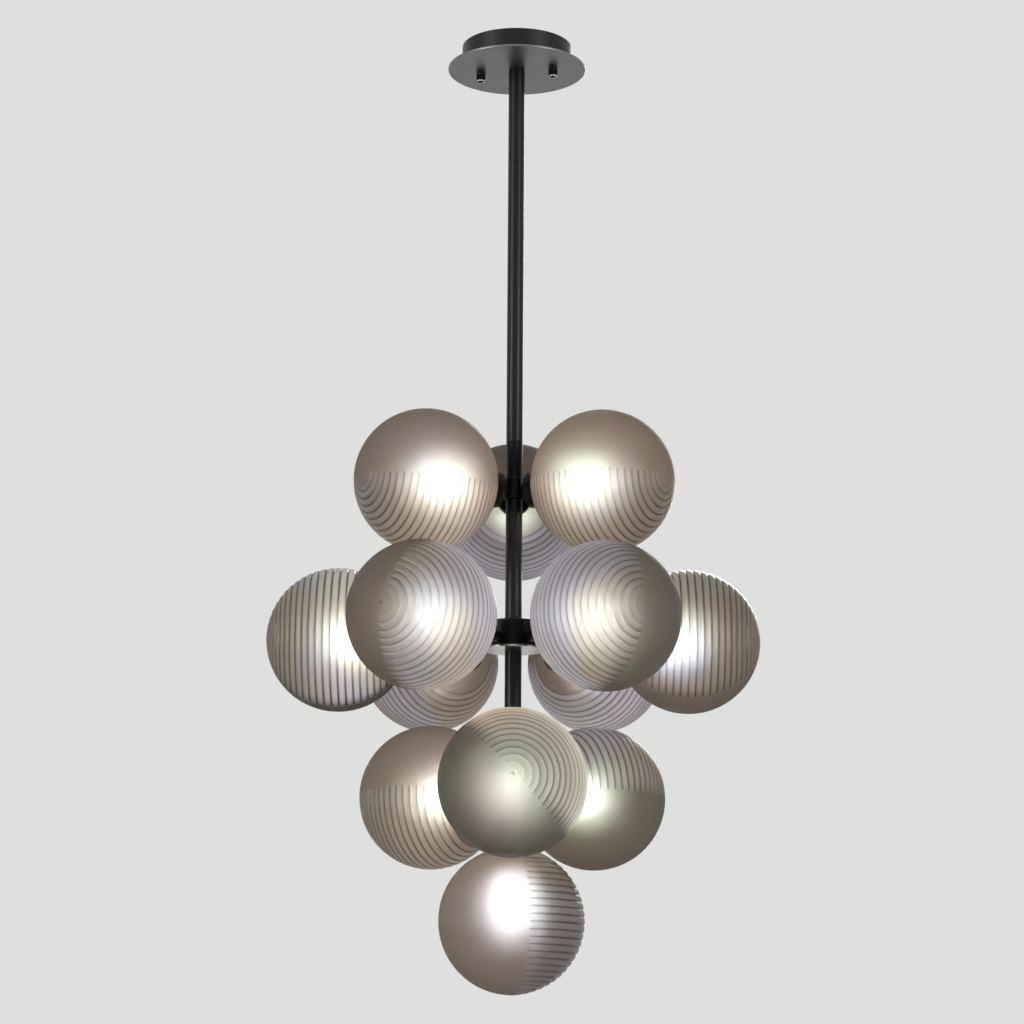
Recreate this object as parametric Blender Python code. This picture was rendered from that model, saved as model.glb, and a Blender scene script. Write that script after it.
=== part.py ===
"""Ceiling chandelier: thirteen half-reeded glass globes in three tiers on one stem.

The frame is metres, +Z up. The origin is the middle of the ceiling face of the
fixing strap, and the front of the object looks along -Y. A light point is built
along its own axis: local +Z runs out of the cup, through the neck of the globe
to its far pole, and local zero is the globe's centre.
"""

import math
from dataclasses import dataclass

import bmesh
import bpy
from mathutils import Matrix, Vector

# Clearances
SEAT_GAP = 0.0003
CUT_OVERRUN = 0.001
MERGE_DISTANCE = 0.00001

# Fixing strap and its two studs
STRAP_LENGTH = 0.104
STRAP_WIDTH = 0.024
STRAP_THICKNESS = 0.002
STRAP_TURN_DEG = -12.0
SLOT_LENGTH = 0.018
SLOT_WIDTH = 0.0065
SLOT_REACH = 0.022
STUD_REACH = 0.040
STUD_RADIUS = 0.002
STUD_COLLAR_RADIUS = 0.0042
STUD_COLLAR_HEIGHT = 0.003
STUD_TIP_GAP = 0.0006

# Canopy: a drum on a thin plate, held by two knurled cap nuts
DRUM_RADIUS = 0.0595
DRUM_HEIGHT = 0.024
DRUM_WALL = 0.0012
PLATE_RADIUS = 0.0745
PLATE_THICKNESS = 0.002
CAP_NUT_RADIUS = 0.005
CAP_NUT_BODY = 0.0075
CAP_NUT_DOME = 0.003
CAP_NUT_SHOULDER_SHARE = 0.6
CAP_NUT_KNURLS = 12
KNURL_DEPTH = 0.0004

# Wiring in the canopy
TERMINAL_LENGTH = 0.030
TERMINAL_WIDTH = 0.017
TERMINAL_HEIGHT = 0.012
TERMINAL_STEP = 0.0045
TERMINAL_REACH = 0.032

# Stem, from the canopy down: each length screws up into the one above by its spigot
STEM_RADIUS = 0.00875
STEM_WALL = 0.0015
UPPER_STEM = 0.1056
MIDDLE_STEM = 0.310
HUB_RISER = 0.0385
FIRST_SPACER = 0.1264
SECOND_SPACER = 0.1334
DROP_STEM = 0.0371
SPIGOT_LENGTH = 0.0075
SPIGOT_WALL = 0.0022
STEM_PLUG = 0.005
LOCK_NUT_FLATS = 0.022
LOCK_NUT_HEIGHT = 0.005

# Three-way hubs of the upper and lower tiers, and the necks of their cups
HUB_RADIUS = 0.0125
HUB_HEIGHT = 0.0223
HUB_AXIS_DROP = 0.0144
NECK_RADIUS = 0.0065
NECK_LENGTH = 0.0092
NECK_LEAST = 0.002
CUP_SPACING = 0.0008

# Six-way hub of the middle tier
DRUM_HUB_RADIUS = 0.0325
DRUM_HUB_HEIGHT = 0.0270
DRUM_HUB_AXIS_DROP = 0.0187
DRUM_HUB_WALL = 0.002
HUB_COLLAR_RADIUS = 0.0098
HUB_COLLAR_HEIGHT = 0.0053
HUB_COVER_THICKNESS = 0.0018
HUB_COVER_EDGE = 0.0005
ARM_RADIUS = 0.006
ARM_LENGTH = 0.064

# Cups
CUP_RADIUS = 0.019
CUP_DEPTH = 0.01265
CUP_WALL = 0.0015
CUP_LIP = 0.0022

# Glass globes
GLOBE_RADIUS = 0.075
GLASS_WALL = 0.0025
GLASS_NECK_WALL = 0.002
GLASS_NECK_LENGTH = 0.004
GLASS_FLARE_HEIGHT = 0.0018
GLASS_FLARE_PLAY = 0.0004
RIB_PITCH = 0.0077
RIB_DEPTH = 0.0014
RIB_TIP_MARGIN = 0.0008
RIB_NECK_MARGIN = 0.030
TIP_RADIUS = 0.0035
TIP_DIMPLE = 0.0008

# Lamps
HOLDER_RADIUS = 0.0105
HOLDER_LENGTH = 0.0285
LAMP_RADIUS = 0.010
LAMP_LENGTH = 0.062
LAMP_SHOULDER = 0.0075
LAMP_CROWN_SHARE = 0.6

# Facets
STEM_SIDES = 10
SMALL_SIDES = 8
LAMP_SIDES = 8
CUP_SIDES = 10
DRUM_SIDES = 24
HUB_SIDES = 24
SMOOTH_BANDS = 7
INNER_BANDS = 6
RIBBED_TURNS_DEG = (-66.0, -22.0, 22.0, 66.0)
SMOOTH_TURNS_DEG = (90.0, 126.0, 162.0, 198.0, 234.0, 270.0)
SHARP_EDGE_DEG = 35.0


@dataclass(frozen=True)
class LightPoint:
    """One lamp of the chandelier: its tier, its compass and how its globe is turned.

    azimuth is counted from the front, positive to the right. rib_turn is how far
    the reeded half is turned about the light point's axis, from straight down, or
    from the front where the axis itself points down.
    """

    name: str
    tier: int
    azimuth: float
    rib_turn: float


LIGHT_POINTS = (
    LightPoint("tier_1_left", 1, -60.0, -6.0),
    LightPoint("tier_1_right", 1, 60.0, 0.0),
    LightPoint("tier_1_back", 1, 180.0, 0.0),
    LightPoint("tier_2_front_left", 2, -30.0, 78.0),
    LightPoint("tier_2_front_right", 2, 30.0, -95.0),
    LightPoint("tier_2_left", 2, -90.0, 102.0),
    LightPoint("tier_2_right", 2, 90.0, -120.0),
    LightPoint("tier_2_back_left", 2, -150.0, 0.0),
    LightPoint("tier_2_back_right", 2, 150.0, 0.0),
    LightPoint("tier_3_front", 3, 0.0, 133.0),
    LightPoint("tier_3_left", 3, -120.0, 5.0),
    LightPoint("tier_3_right", 3, 120.0, 180.0),
    LightPoint("bottom", 4, 0.0, -103.0),
)


def sphere_drop(radius: float, offset: float) -> float:
    """Height of a sphere of that radius above its centre, at an offset from its axis."""
    return math.sqrt(radius ** 2 - offset ** 2)


# Places down the stem, from the ceiling
FLOOR_TOP = DRUM_WALL - DRUM_HEIGHT
PLATE_TOP = -DRUM_HEIGHT - SEAT_GAP
PLATE_UNDERSIDE = PLATE_TOP - PLATE_THICKNESS
UPPER_STEM_TOP = PLATE_UNDERSIDE - SEAT_GAP
MIDDLE_STEM_TOP = UPPER_STEM_TOP - UPPER_STEM - SEAT_GAP
HUB_RISER_TOP = MIDDLE_STEM_TOP - MIDDLE_STEM - SEAT_GAP
TIER_1_HUB_TOP = HUB_RISER_TOP - HUB_RISER
FIRST_SPACER_TOP = TIER_1_HUB_TOP - HUB_HEIGHT - SEAT_GAP
HUB_COLLAR_TOP = FIRST_SPACER_TOP - FIRST_SPACER - SEAT_GAP
TIER_2_HUB_TOP = HUB_COLLAR_TOP - HUB_COLLAR_HEIGHT
TIER_2_COVER_TOP = TIER_2_HUB_TOP - DRUM_HUB_HEIGHT - SEAT_GAP
SECOND_SPACER_TOP = TIER_2_COVER_TOP - HUB_COVER_THICKNESS - SEAT_GAP
TIER_3_HUB_TOP = SECOND_SPACER_TOP - SECOND_SPACER - SEAT_GAP
DROP_STEM_TOP = TIER_3_HUB_TOP - HUB_HEIGHT - SEAT_GAP
BOTTOM_CUP_BACK = DROP_STEM_TOP - DROP_STEM

# Places along a light point's axis
CUP_BORE_RADIUS = CUP_RADIUS - CUP_WALL - CUP_LIP
CUP_RIM = -sphere_drop(GLOBE_RADIUS, CUP_RADIUS) - SEAT_GAP
CUP_LIP_FACE = -sphere_drop(GLOBE_RADIUS, CUP_BORE_RADIUS) - SEAT_GAP
CUP_BACK = CUP_RIM - CUP_DEPTH
GLASS_NECK_RADIUS = CUP_BORE_RADIUS * math.cos(math.pi / CUP_SIDES) - SEAT_GAP
GLASS_BORE_RADIUS = GLASS_NECK_RADIUS - GLASS_NECK_WALL
GLASS_FLARE_RADIUS = (CUP_RADIUS - CUP_WALL) * math.cos(math.pi / CUP_SIDES) - GLASS_FLARE_PLAY
GLASS_NECK_TOP = -sphere_drop(GLOBE_RADIUS, GLASS_NECK_RADIUS)
GLASS_FLARE_TOP = min(GLASS_NECK_TOP - GLASS_NECK_LENGTH + GLASS_FLARE_HEIGHT,
                      CUP_LIP_FACE - CUP_WALL - SEAT_GAP)
GLASS_NECK_END = GLASS_FLARE_TOP - GLASS_FLARE_HEIGHT
CUP_FLOOR = CUP_BACK + CUP_WALL
LAMP_BACK = CUP_FLOOR + HOLDER_LENGTH + SEAT_GAP
LAMP_TIP = LAMP_BACK + LAMP_LENGTH

# Distances of the globes' centres from the stem's axis, and their heights
HUB_FLAT = math.sqrt(HUB_RADIUS ** 2 - NECK_RADIUS ** 2)
DRUM_HUB_FLAT = DRUM_HUB_RADIUS * math.cos(math.pi / HUB_SIDES)
TIER_1_CUP_BACK = HUB_FLAT + SEAT_GAP + NECK_LENGTH
TIER_2_CUP_BACK = DRUM_HUB_FLAT + SEAT_GAP + ARM_LENGTH + SEAT_GAP
CROWDED_CUP_BACK = CUP_RADIUS / math.tan(math.radians(60.0)) + CUP_SPACING
TIER_3_CUP_BACK = max(CROWDED_CUP_BACK, HUB_FLAT + SEAT_GAP + NECK_LEAST)
CUP_BACK_REACH = {1: TIER_1_CUP_BACK, 2: TIER_2_CUP_BACK, 3: TIER_3_CUP_BACK}
NECK_REACH = {1: NECK_LENGTH, 2: 0.0, 3: TIER_3_CUP_BACK - HUB_FLAT - SEAT_GAP, 4: DROP_STEM}
TIER_HEIGHT = {1: TIER_1_HUB_TOP - HUB_AXIS_DROP,
               2: TIER_2_HUB_TOP - DRUM_HUB_AXIS_DROP,
               3: TIER_3_HUB_TOP - HUB_AXIS_DROP,
               4: BOTTOM_CUP_BACK + CUP_BACK}

# The stem's bore, and the spigots that fit it
STEM_BORE = STEM_RADIUS - STEM_WALL
SPIGOT_RADIUS = STEM_BORE * math.cos(math.pi / STEM_SIDES) - SEAT_GAP
WIRE_BORE = SPIGOT_RADIUS - SPIGOT_WALL

# The strap's turn about the stem, and the holes for its studs
STRAP_TURN = Matrix.Rotation(math.radians(STRAP_TURN_DEG), 4, "Z")
STUD_HOLE = STUD_RADIUS + SEAT_GAP

FINISHES = {
    "black_steel": ((0.012, 0.012, 0.013, 1.0), 0.38, 0.9),
    "dark_satin": ((0.045, 0.046, 0.048, 1.0), 0.42, 0.9),
    "satin_plate": ((0.28, 0.28, 0.28, 1.0), 0.35, 1.0),
    "zinc_steel": ((0.45, 0.46, 0.48, 1.0), 0.4, 1.0),
    "smoked_glass": ((0.30, 0.26, 0.24, 1.0), 0.3, 0.0),
    "frosted_lamp": ((0.95, 0.93, 0.88, 1.0), 0.5, 0.0),
    "terminal_plastic": ((0.75, 0.75, 0.72, 1.0), 0.5, 0.0),
}


def clear_scene() -> None:
    """Remove whatever the scene holds."""
    for item in list(bpy.data.objects):
        bpy.data.objects.remove(item, do_unlink=True)


def finish_material(name: str) -> bpy.types.Material:
    """Principled material of one named finish, made on first use."""
    found = bpy.data.materials.get(name)
    if found:
        return found
    color, roughness, metallic = FINISHES[name]
    made = bpy.data.materials.new(name)
    made.use_nodes = True
    shader = made.node_tree.nodes["Principled BSDF"]
    shader.inputs["Base Color"].default_value = color
    shader.inputs["Roughness"].default_value = roughness
    shader.inputs["Metallic"].default_value = metallic
    made.diffuse_color = color
    return made


def mesh_from(shape: bmesh.types.BMesh, name: str) -> bpy.types.Mesh:
    """Closed mesh with outward faces and smooth shading between sharp edges."""
    bmesh.ops.remove_doubles(shape, verts=shape.verts, dist=MERGE_DISTANCE)
    bmesh.ops.recalc_face_normals(shape, faces=shape.faces)
    mesh = bpy.data.meshes.new(name)
    shape.to_mesh(mesh)
    shape.free()
    mesh.shade_smooth()
    mesh.set_sharp_from_angle(angle=math.radians(SHARP_EDGE_DEG))
    return mesh


def add_piece(name: str, mesh: bpy.types.Mesh, finish: str, place: Matrix = None,
              parent: bpy.types.Object = None) -> bpy.types.Object:
    """Link one named sub-part, with its finish, where place or its parent puts it."""
    piece = bpy.data.objects.new(name, mesh)
    bpy.context.scene.collection.objects.link(piece)
    if not mesh.materials:
        mesh.materials.append(finish_material(finish))
    piece.parent = parent
    if place is not None:
        piece.matrix_local = place
    return piece


def cut_away(piece: bpy.types.Object, cutter: bpy.types.Object) -> None:
    """Take the cutter's shape out of a piece, and keep the cutter as a wire guide."""
    cutter.hide_render = True
    cutter.display_type = "WIRE"
    cut = piece.modifiers.new("cut", "BOOLEAN")
    cut.operation = "DIFFERENCE"
    cut.solver = "EXACT"
    cut.object = cutter


def join(piece: bpy.types.Object, added: bpy.types.Object) -> None:
    """Weld a second shape onto a piece, and keep it as a wire guide."""
    added.hide_render = True
    added.display_type = "WIRE"
    weld = piece.modifiers.new("weld", "BOOLEAN")
    weld.operation = "UNION"
    weld.solver = "EXACT"
    weld.object = added


def turned_mesh(name: str, profile: list, sides: int, first_deg: float = 0.0) -> bpy.types.Mesh:
    """Spin a profile of (radius, height) points about Z into a closed body.

    A profile that starts and ends on the axis is a solid of revolution, and any
    other is closed into a ring.
    """
    shape = bmesh.new()
    corners = [shape.verts.new((radius, 0.0, height)) for radius, height in profile]
    pairs = list(zip(corners, corners[1:]))
    on_axis = profile[0][0] == 0 and profile[-1][0] == 0
    if not on_axis:
        pairs.append((corners[-1], corners[0]))
    edges = [shape.edges.new(pair) for pair in pairs]
    bmesh.ops.spin(shape, geom=corners + edges, cent=(0, 0, 0), axis=(0, 0, 1),
                   angle=math.tau, steps=sides, use_merge=True)
    bmesh.ops.rotate(shape, verts=shape.verts, cent=(0, 0, 0),
                     matrix=Matrix.Rotation(math.radians(first_deg), 3, "Z"))
    return mesh_from(shape, name)


def tube(bore: float, radius: float, low: float, high: float) -> list:
    """Profile of a plain tube between two heights."""
    return [(radius, low), (radius, high), (bore, high), (bore, low)]


def rod(radius: float, low: float, high: float) -> list:
    """Profile of a plain rod between two heights."""
    return [(0.0, low), (radius, low), (radius, high), (0.0, high)]


def arc_points(radius: float, first_deg: float, last_deg: float, steps: int) -> list:
    """Points of a round arc in the XY plane."""
    turns = [first_deg + (last_deg - first_deg) * step / steps for step in range(steps + 1)]
    return [Vector((radius * math.cos(math.radians(turn)), radius * math.sin(math.radians(turn)), 0.0))
            for turn in turns]


def circle_outline(radius: float, sides: int, centre: Vector = Vector()) -> list:
    """Closed outline of a circle."""
    return [point + centre for point in arc_points(radius, 0.0, 360.0, sides)[:-1]]


def slot_outline(length: float, width: float, centre: Vector) -> list:
    """Closed outline of a slot with round ends that runs along X."""
    steps = SMALL_SIDES // 2
    reach = Vector(((length - width) / 2, 0.0, 0.0))
    right = [centre + reach + point for point in arc_points(width / 2, -90.0, 90.0, steps)]
    left = [centre - reach + point for point in arc_points(width / 2, 90.0, 270.0, steps)]
    return right + left


def extruded_mesh(name: str, outline: list, holes: list, low: float, high: float) -> bpy.types.Mesh:
    """Flat outline, pierced by holes, filled and pulled up from low to high."""
    shape = bmesh.new()
    for loop in [outline, *holes]:
        corners = [shape.verts.new((point.x, point.y, low)) for point in loop]
        for first, second in zip(corners, corners[1:] + corners[:1]):
            shape.edges.new((first, second))
    bmesh.ops.triangle_fill(shape, edges=shape.edges, use_beauty=True)
    pulled = bmesh.ops.extrude_face_region(shape, geom=list(shape.faces), use_keep_orig=True)
    lifted = [item for item in pulled["geom"] if isinstance(item, bmesh.types.BMVert)]
    bmesh.ops.translate(shape, vec=(0.0, 0.0, high - low), verts=lifted)
    return mesh_from(shape, name)


def stitch(shape: bmesh.types.BMesh, left: list, right: list) -> None:
    """Fill the strip between two columns of (station, vertex) pairs with faces.

    Columns that stand at the same stations get four-sided faces. Where one has
    more points than the other, the spare ones are joined as triangles.
    """
    row_left = 0
    row_right = 0
    while row_left < len(left) - 1 or row_right < len(right) - 1:
        next_left = left[row_left + 1][0] if row_left < len(left) - 1 else math.inf
        next_right = right[row_right + 1][0] if row_right < len(right) - 1 else math.inf
        corners = [left[row_left][1]]
        if next_left <= next_right:
            row_left += 1
            corners.append(left[row_left][1])
        if next_right <= next_left:
            corners.append(right[row_right + 1][1])
        corners.append(right[row_right][1])
        if next_right <= next_left:
            row_right += 1
        shape.faces.new(corners)


def polar_point(radius: float, polar: float) -> tuple:
    """Point of a sphere's outline at a polar angle from its far pole, as (radius, height)."""
    return radius * math.sin(polar), radius * math.cos(polar)


def globe_mesh() -> bpy.types.Mesh:
    """Blown globe: one half reeded with rings round its own axis, one half smooth.

    The wall is swept in columns round the axis. A column is a list of stations
    from the far pole, down the outside, round the neck and up the inside. The
    reeded columns carry a crest and a valley for every rib, and the smooth ones
    only follow the sphere, so each rib fades out at the edge of the reeded half.
    """
    tip = TIP_RADIUS / GLOBE_RADIUS
    neck = math.pi - math.asin(GLASS_NECK_RADIUS / GLOBE_RADIUS)
    first = (TIP_RADIUS + RIB_TIP_MARGIN) / GLOBE_RADIUS
    last = neck - RIB_NECK_MARGIN / GLOBE_RADIUS
    ribs = int((last - first) * GLOBE_RADIUS / RIB_PITCH)
    pitch = (last - first) / ribs
    valley = GLOBE_RADIUS - RIB_DEPTH

    smooth = [tip + (neck - tip) * band / SMOOTH_BANDS for band in range(SMOOTH_BANDS + 1)]
    smooth_column = [(polar, polar_point(GLOBE_RADIUS, polar)) for polar in smooth]
    reeded_column = [(tip, polar_point(GLOBE_RADIUS, tip))]
    for rib in range(ribs):
        reeded_column.append((first + rib * pitch, polar_point(valley, first + rib * pitch)))
        crest = first + (rib + 0.5) * pitch
        reeded_column.append((crest, polar_point(GLOBE_RADIUS, crest)))
    reeded_column.append((last, polar_point(valley, last)))
    reeded_column.append((neck, polar_point(GLOBE_RADIUS, neck)))

    inner = GLOBE_RADIUS - GLASS_WALL
    inner_neck = math.pi - math.asin(GLASS_BORE_RADIUS / inner)
    inside = [(GLASS_NECK_RADIUS, GLASS_FLARE_TOP),
              (GLASS_FLARE_RADIUS, GLASS_NECK_END),
              (GLASS_BORE_RADIUS, GLASS_NECK_END)]
    for band in range(INNER_BANDS):
        inside.append(polar_point(inner, inner_neck * (INNER_BANDS - band) / INNER_BANDS))
    tail = [(math.pi + row, point) for row, point in enumerate(inside, start=1)]

    shape = bmesh.new()
    pole = shape.verts.new((0.0, 0.0, GLOBE_RADIUS - TIP_DIMPLE))
    inner_pole = shape.verts.new((0.0, 0.0, inner))
    columns = []
    turns = [(turn, reeded_column) for turn in RIBBED_TURNS_DEG]
    turns += [(turn, smooth_column) for turn in SMOOTH_TURNS_DEG]
    for turn, outside in turns:
        across = Vector((math.cos(math.radians(turn)), math.sin(math.radians(turn)), 0.0))
        columns.append([(station, shape.verts.new(across * radius + Vector((0.0, 0.0, height))))
                        for station, (radius, height) in outside + tail])
    for left, right in zip(columns, columns[1:] + columns[:1]):
        shape.faces.new((pole, left[0][1], right[0][1]))
        stitch(shape, left, right)
        shape.faces.new((inner_pole, right[-1][1], left[-1][1]))
    return mesh_from(shape, "half_reeded_globe")


def cup_profile(neck: float) -> list:
    """Outline of a cup with its neck and, on its floor, the lampholder.

    The rolled rim follows the globe and keeps the flare of its neck in.
    """
    wall = CUP_RADIUS - CUP_WALL
    lip_back = CUP_LIP_FACE - CUP_WALL
    neck_part = []
    if neck > 0:
        neck_part = [(NECK_RADIUS, CUP_BACK - neck), (NECK_RADIUS, CUP_BACK)]
    return [(0.0, CUP_BACK - neck), *neck_part, (CUP_RADIUS, CUP_BACK), (CUP_RADIUS, CUP_RIM),
            (CUP_BORE_RADIUS, CUP_LIP_FACE), (CUP_BORE_RADIUS, lip_back), (wall, lip_back),
            (wall, CUP_FLOOR), (HOLDER_RADIUS, CUP_FLOOR),
            (HOLDER_RADIUS, CUP_FLOOR + HOLDER_LENGTH), (0.0, CUP_FLOOR + HOLDER_LENGTH)]


def bottom_cup_profile() -> list:
    """Outline of the bottom cup, whose neck is the drop stem with its own spigot."""
    back = CUP_BACK - DROP_STEM
    spigot = back - SPIGOT_LENGTH
    stem = [(0.0, spigot), (SPIGOT_RADIUS, spigot), (SPIGOT_RADIUS, back), (STEM_RADIUS, back),
            (STEM_RADIUS, CUP_BACK)]
    return stem + cup_profile(0.0)[1:]


def lamp_profile() -> list:
    """Frosted capsule lamp with a rounded end."""
    return [(0.0, LAMP_BACK), (LAMP_RADIUS, LAMP_BACK), (LAMP_RADIUS, LAMP_TIP - LAMP_SHOULDER),
            (LAMP_RADIUS * LAMP_CROWN_SHARE, LAMP_TIP - LAMP_SHOULDER * (1 - LAMP_CROWN_SHARE)),
            (0.0, LAMP_TIP)]


def light_axis(point: LightPoint) -> Matrix:
    """Place of a light point: local Z out of the cup, local X down or, at the bottom, forward."""
    azimuth = math.radians(point.azimuth)
    if point.tier == 4:
        outward = Vector((0.0, 0.0, -1.0))
        datum = Vector((0.0, -1.0, 0.0))
        centre = Vector((0.0, 0.0, TIER_HEIGHT[point.tier]))
    else:
        outward = Vector((math.sin(azimuth), -math.cos(azimuth), 0.0))
        datum = Vector((0.0, 0.0, -1.0))
        centre = outward * (CUP_BACK_REACH[point.tier] - CUP_BACK)
        centre.z = TIER_HEIGHT[point.tier]
    basis = Matrix((datum, outward.cross(datum), outward)).transposed().to_4x4()
    return Matrix.Translation(centre) @ basis


def build_light_points() -> None:
    """Cup, lamp and turned globe of each light point, and the arms of the middle tier."""
    globe = globe_mesh()
    lamp = turned_mesh("capsule_lamp", lamp_profile(), LAMP_SIDES)
    arm = turned_mesh("arm", rod(ARM_RADIUS, CUP_BACK - SEAT_GAP - ARM_LENGTH, CUP_BACK - SEAT_GAP),
                      SMALL_SIDES)
    cups = {tier: turned_mesh(f"tier_{tier}_cup", cup_profile(NECK_REACH[tier]), CUP_SIDES)
            for tier in (1, 2, 3)}
    cups[4] = turned_mesh("drop_cup", bottom_cup_profile(), CUP_SIDES)
    for point in LIGHT_POINTS:
        axis = bpy.data.objects.new(point.name + "_axis", None)
        bpy.context.scene.collection.objects.link(axis)
        axis.matrix_local = light_axis(point)
        turn = Matrix.Rotation(math.radians(point.rib_turn), 4, "Z")
        add_piece(point.name + "_globe", globe, "smoked_glass", place=turn, parent=axis)
        add_piece(point.name + "_cup", cups[point.tier], "black_steel", parent=axis)
        add_piece(point.name + "_lamp", lamp, "frosted_lamp", parent=axis)
        if point.tier == 2:
            add_piece(point.name + "_arm", arm, "dark_satin", parent=axis)


def spigot_profile(top: float) -> list:
    """Hollow spigot that stands on a shoulder, from its wire bore round to the shoulder."""
    return [(WIRE_BORE, top + SPIGOT_LENGTH), (SPIGOT_RADIUS, top + SPIGOT_LENGTH), (SPIGOT_RADIUS, top)]


def build_three_way_hub(tier: int, top: float, riser: float) -> None:
    """Round hub with a spigot, on a riser where it has one, a socket and three milled flats."""
    bottom = top - HUB_HEIGHT
    socket_top = bottom + SPIGOT_LENGTH + STEM_PLUG
    neck = [(STEM_RADIUS, top + riser), (STEM_RADIUS, top)]
    profile = spigot_profile(top + riser) + neck + [
        (HUB_RADIUS, top), (HUB_RADIUS, bottom), (STEM_BORE, bottom), (STEM_BORE, socket_top),
        (WIRE_BORE, socket_top)]
    if riser == 0:
        profile = [corner for corner in profile if corner not in neck]
    name = f"tier_{tier}_hub"
    hub = add_piece(name, turned_mesh(name, profile, STEM_SIDES), "black_steel")
    shape = bmesh.new()
    for point in LIGHT_POINTS:
        if point.tier == tier:
            place = (Matrix.Translation((0.0, 0.0, (top + bottom) / 2))
                     @ Matrix.Rotation(math.radians(point.azimuth), 4, "Z")
                     @ Matrix.Translation((0.0, -HUB_FLAT - NECK_RADIUS / 2, 0.0))
                     @ Matrix.Diagonal((2 * HUB_RADIUS, NECK_RADIUS, HUB_HEIGHT + 2 * CUT_OVERRUN, 1.0)))
            bmesh.ops.create_cube(shape, size=1.0, matrix=place)
    cut_away(hub, add_piece(name + "_mill", mesh_from(shape, name + "_mill"), "zinc_steel"))


def build_six_way_hub() -> None:
    """Hollow drum hub with its collar and spigot, and the cover drawn up under it."""
    top = TIER_2_HUB_TOP
    bottom = top - DRUM_HUB_HEIGHT
    ceiling = top - DRUM_HUB_WALL
    inner = DRUM_HUB_RADIUS - DRUM_HUB_WALL
    facet = 180.0 / HUB_SIDES
    shell = spigot_profile(HUB_COLLAR_TOP) + [
        (HUB_COLLAR_RADIUS, HUB_COLLAR_TOP), (HUB_COLLAR_RADIUS, top), (DRUM_HUB_RADIUS, top),
        (DRUM_HUB_RADIUS, bottom), (inner, bottom), (inner, ceiling), (WIRE_BORE, ceiling)]
    add_piece("tier_2_hub", turned_mesh("tier_2_hub", shell, HUB_SIDES, facet), "black_steel")
    under = TIER_2_COVER_TOP - HUB_COVER_THICKNESS
    cover = [(DRUM_HUB_RADIUS, TIER_2_COVER_TOP), (STEM_BORE, TIER_2_COVER_TOP),
             (STEM_BORE, under), (DRUM_HUB_RADIUS - HUB_COVER_EDGE, under),
             (DRUM_HUB_RADIUS, under + HUB_COVER_EDGE)]
    add_piece("tier_2_hub_cover", turned_mesh("tier_2_hub_cover", cover, HUB_SIDES, facet), "satin_plate")


def build_stem() -> None:
    """Four stem tubes, each with a spigot at its head, and the lock nut in the canopy."""
    nut_low = FLOOR_TOP + SEAT_GAP
    nut_high = nut_low + LOCK_NUT_HEIGHT
    cover_reach = SECOND_SPACER_TOP + SPIGOT_LENGTH
    hub_reach = TIER_2_HUB_TOP - DRUM_HUB_WALL - SEAT_GAP
    tubes = (("upper_stem", UPPER_STEM_TOP, UPPER_STEM, nut_high),
             ("middle_stem", MIDDLE_STEM_TOP, MIDDLE_STEM, MIDDLE_STEM_TOP + SPIGOT_LENGTH),
             ("first_spacer_stem", FIRST_SPACER_TOP, FIRST_SPACER, FIRST_SPACER_TOP + SPIGOT_LENGTH),
             ("second_spacer_stem", SECOND_SPACER_TOP, SECOND_SPACER, max(cover_reach, hub_reach)))
    for name, top, length, reach in tubes:
        profile = [(WIRE_BORE, reach), (SPIGOT_RADIUS, reach), (SPIGOT_RADIUS, top), (STEM_RADIUS, top),
                   (STEM_RADIUS, top - length), (STEM_BORE, top - length), (STEM_BORE, top - STEM_PLUG),
                   (WIRE_BORE, top - STEM_PLUG)]
        add_piece(name, turned_mesh(name, profile, STEM_SIDES), "dark_satin")
    corner = LOCK_NUT_FLATS / 2 / math.cos(math.radians(30.0))
    nut = extruded_mesh("stem_lock_nut", circle_outline(corner, 6),
                        [circle_outline(STEM_BORE, STEM_SIDES)], nut_low, nut_high)
    add_piece("stem_lock_nut", nut, "zinc_steel")


def build_canopy() -> None:
    """Drum and plate of the canopy, pierced for the stem and the two studs."""
    shape = bmesh.new()
    drill_low = PLATE_UNDERSIDE - CUT_OVERRUN
    drill_high = FLOOR_TOP + CUT_OVERRUN
    for side in (-1, 1):
        place = Matrix.Translation((side * STUD_REACH, 0.0, (drill_low + drill_high) / 2))
        bmesh.ops.create_cone(shape, cap_ends=True, segments=SMALL_SIDES, radius1=STUD_HOLE,
                              radius2=STUD_HOLE, depth=drill_high - drill_low, matrix=place)
    drill = add_piece("stud_hole_drill", mesh_from(shape, "stud_hole_drill"), "zinc_steel", place=STRAP_TURN)
    inner = DRUM_RADIUS - DRUM_WALL
    shell = [(DRUM_RADIUS, -DRUM_HEIGHT), (DRUM_RADIUS, 0.0), (inner, 0.0), (inner, FLOOR_TOP),
             (STEM_BORE, FLOOR_TOP), (STEM_BORE, -DRUM_HEIGHT)]
    drum = add_piece("canopy_drum", turned_mesh("canopy_drum", shell, DRUM_SIDES), "dark_satin")
    disc = tube(STEM_BORE, PLATE_RADIUS, PLATE_UNDERSIDE, PLATE_TOP)
    plate = add_piece("canopy_plate", turned_mesh("canopy_plate", disc, DRUM_SIDES), "satin_plate")
    cut_away(drum, drill)
    cut_away(plate, drill)


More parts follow.
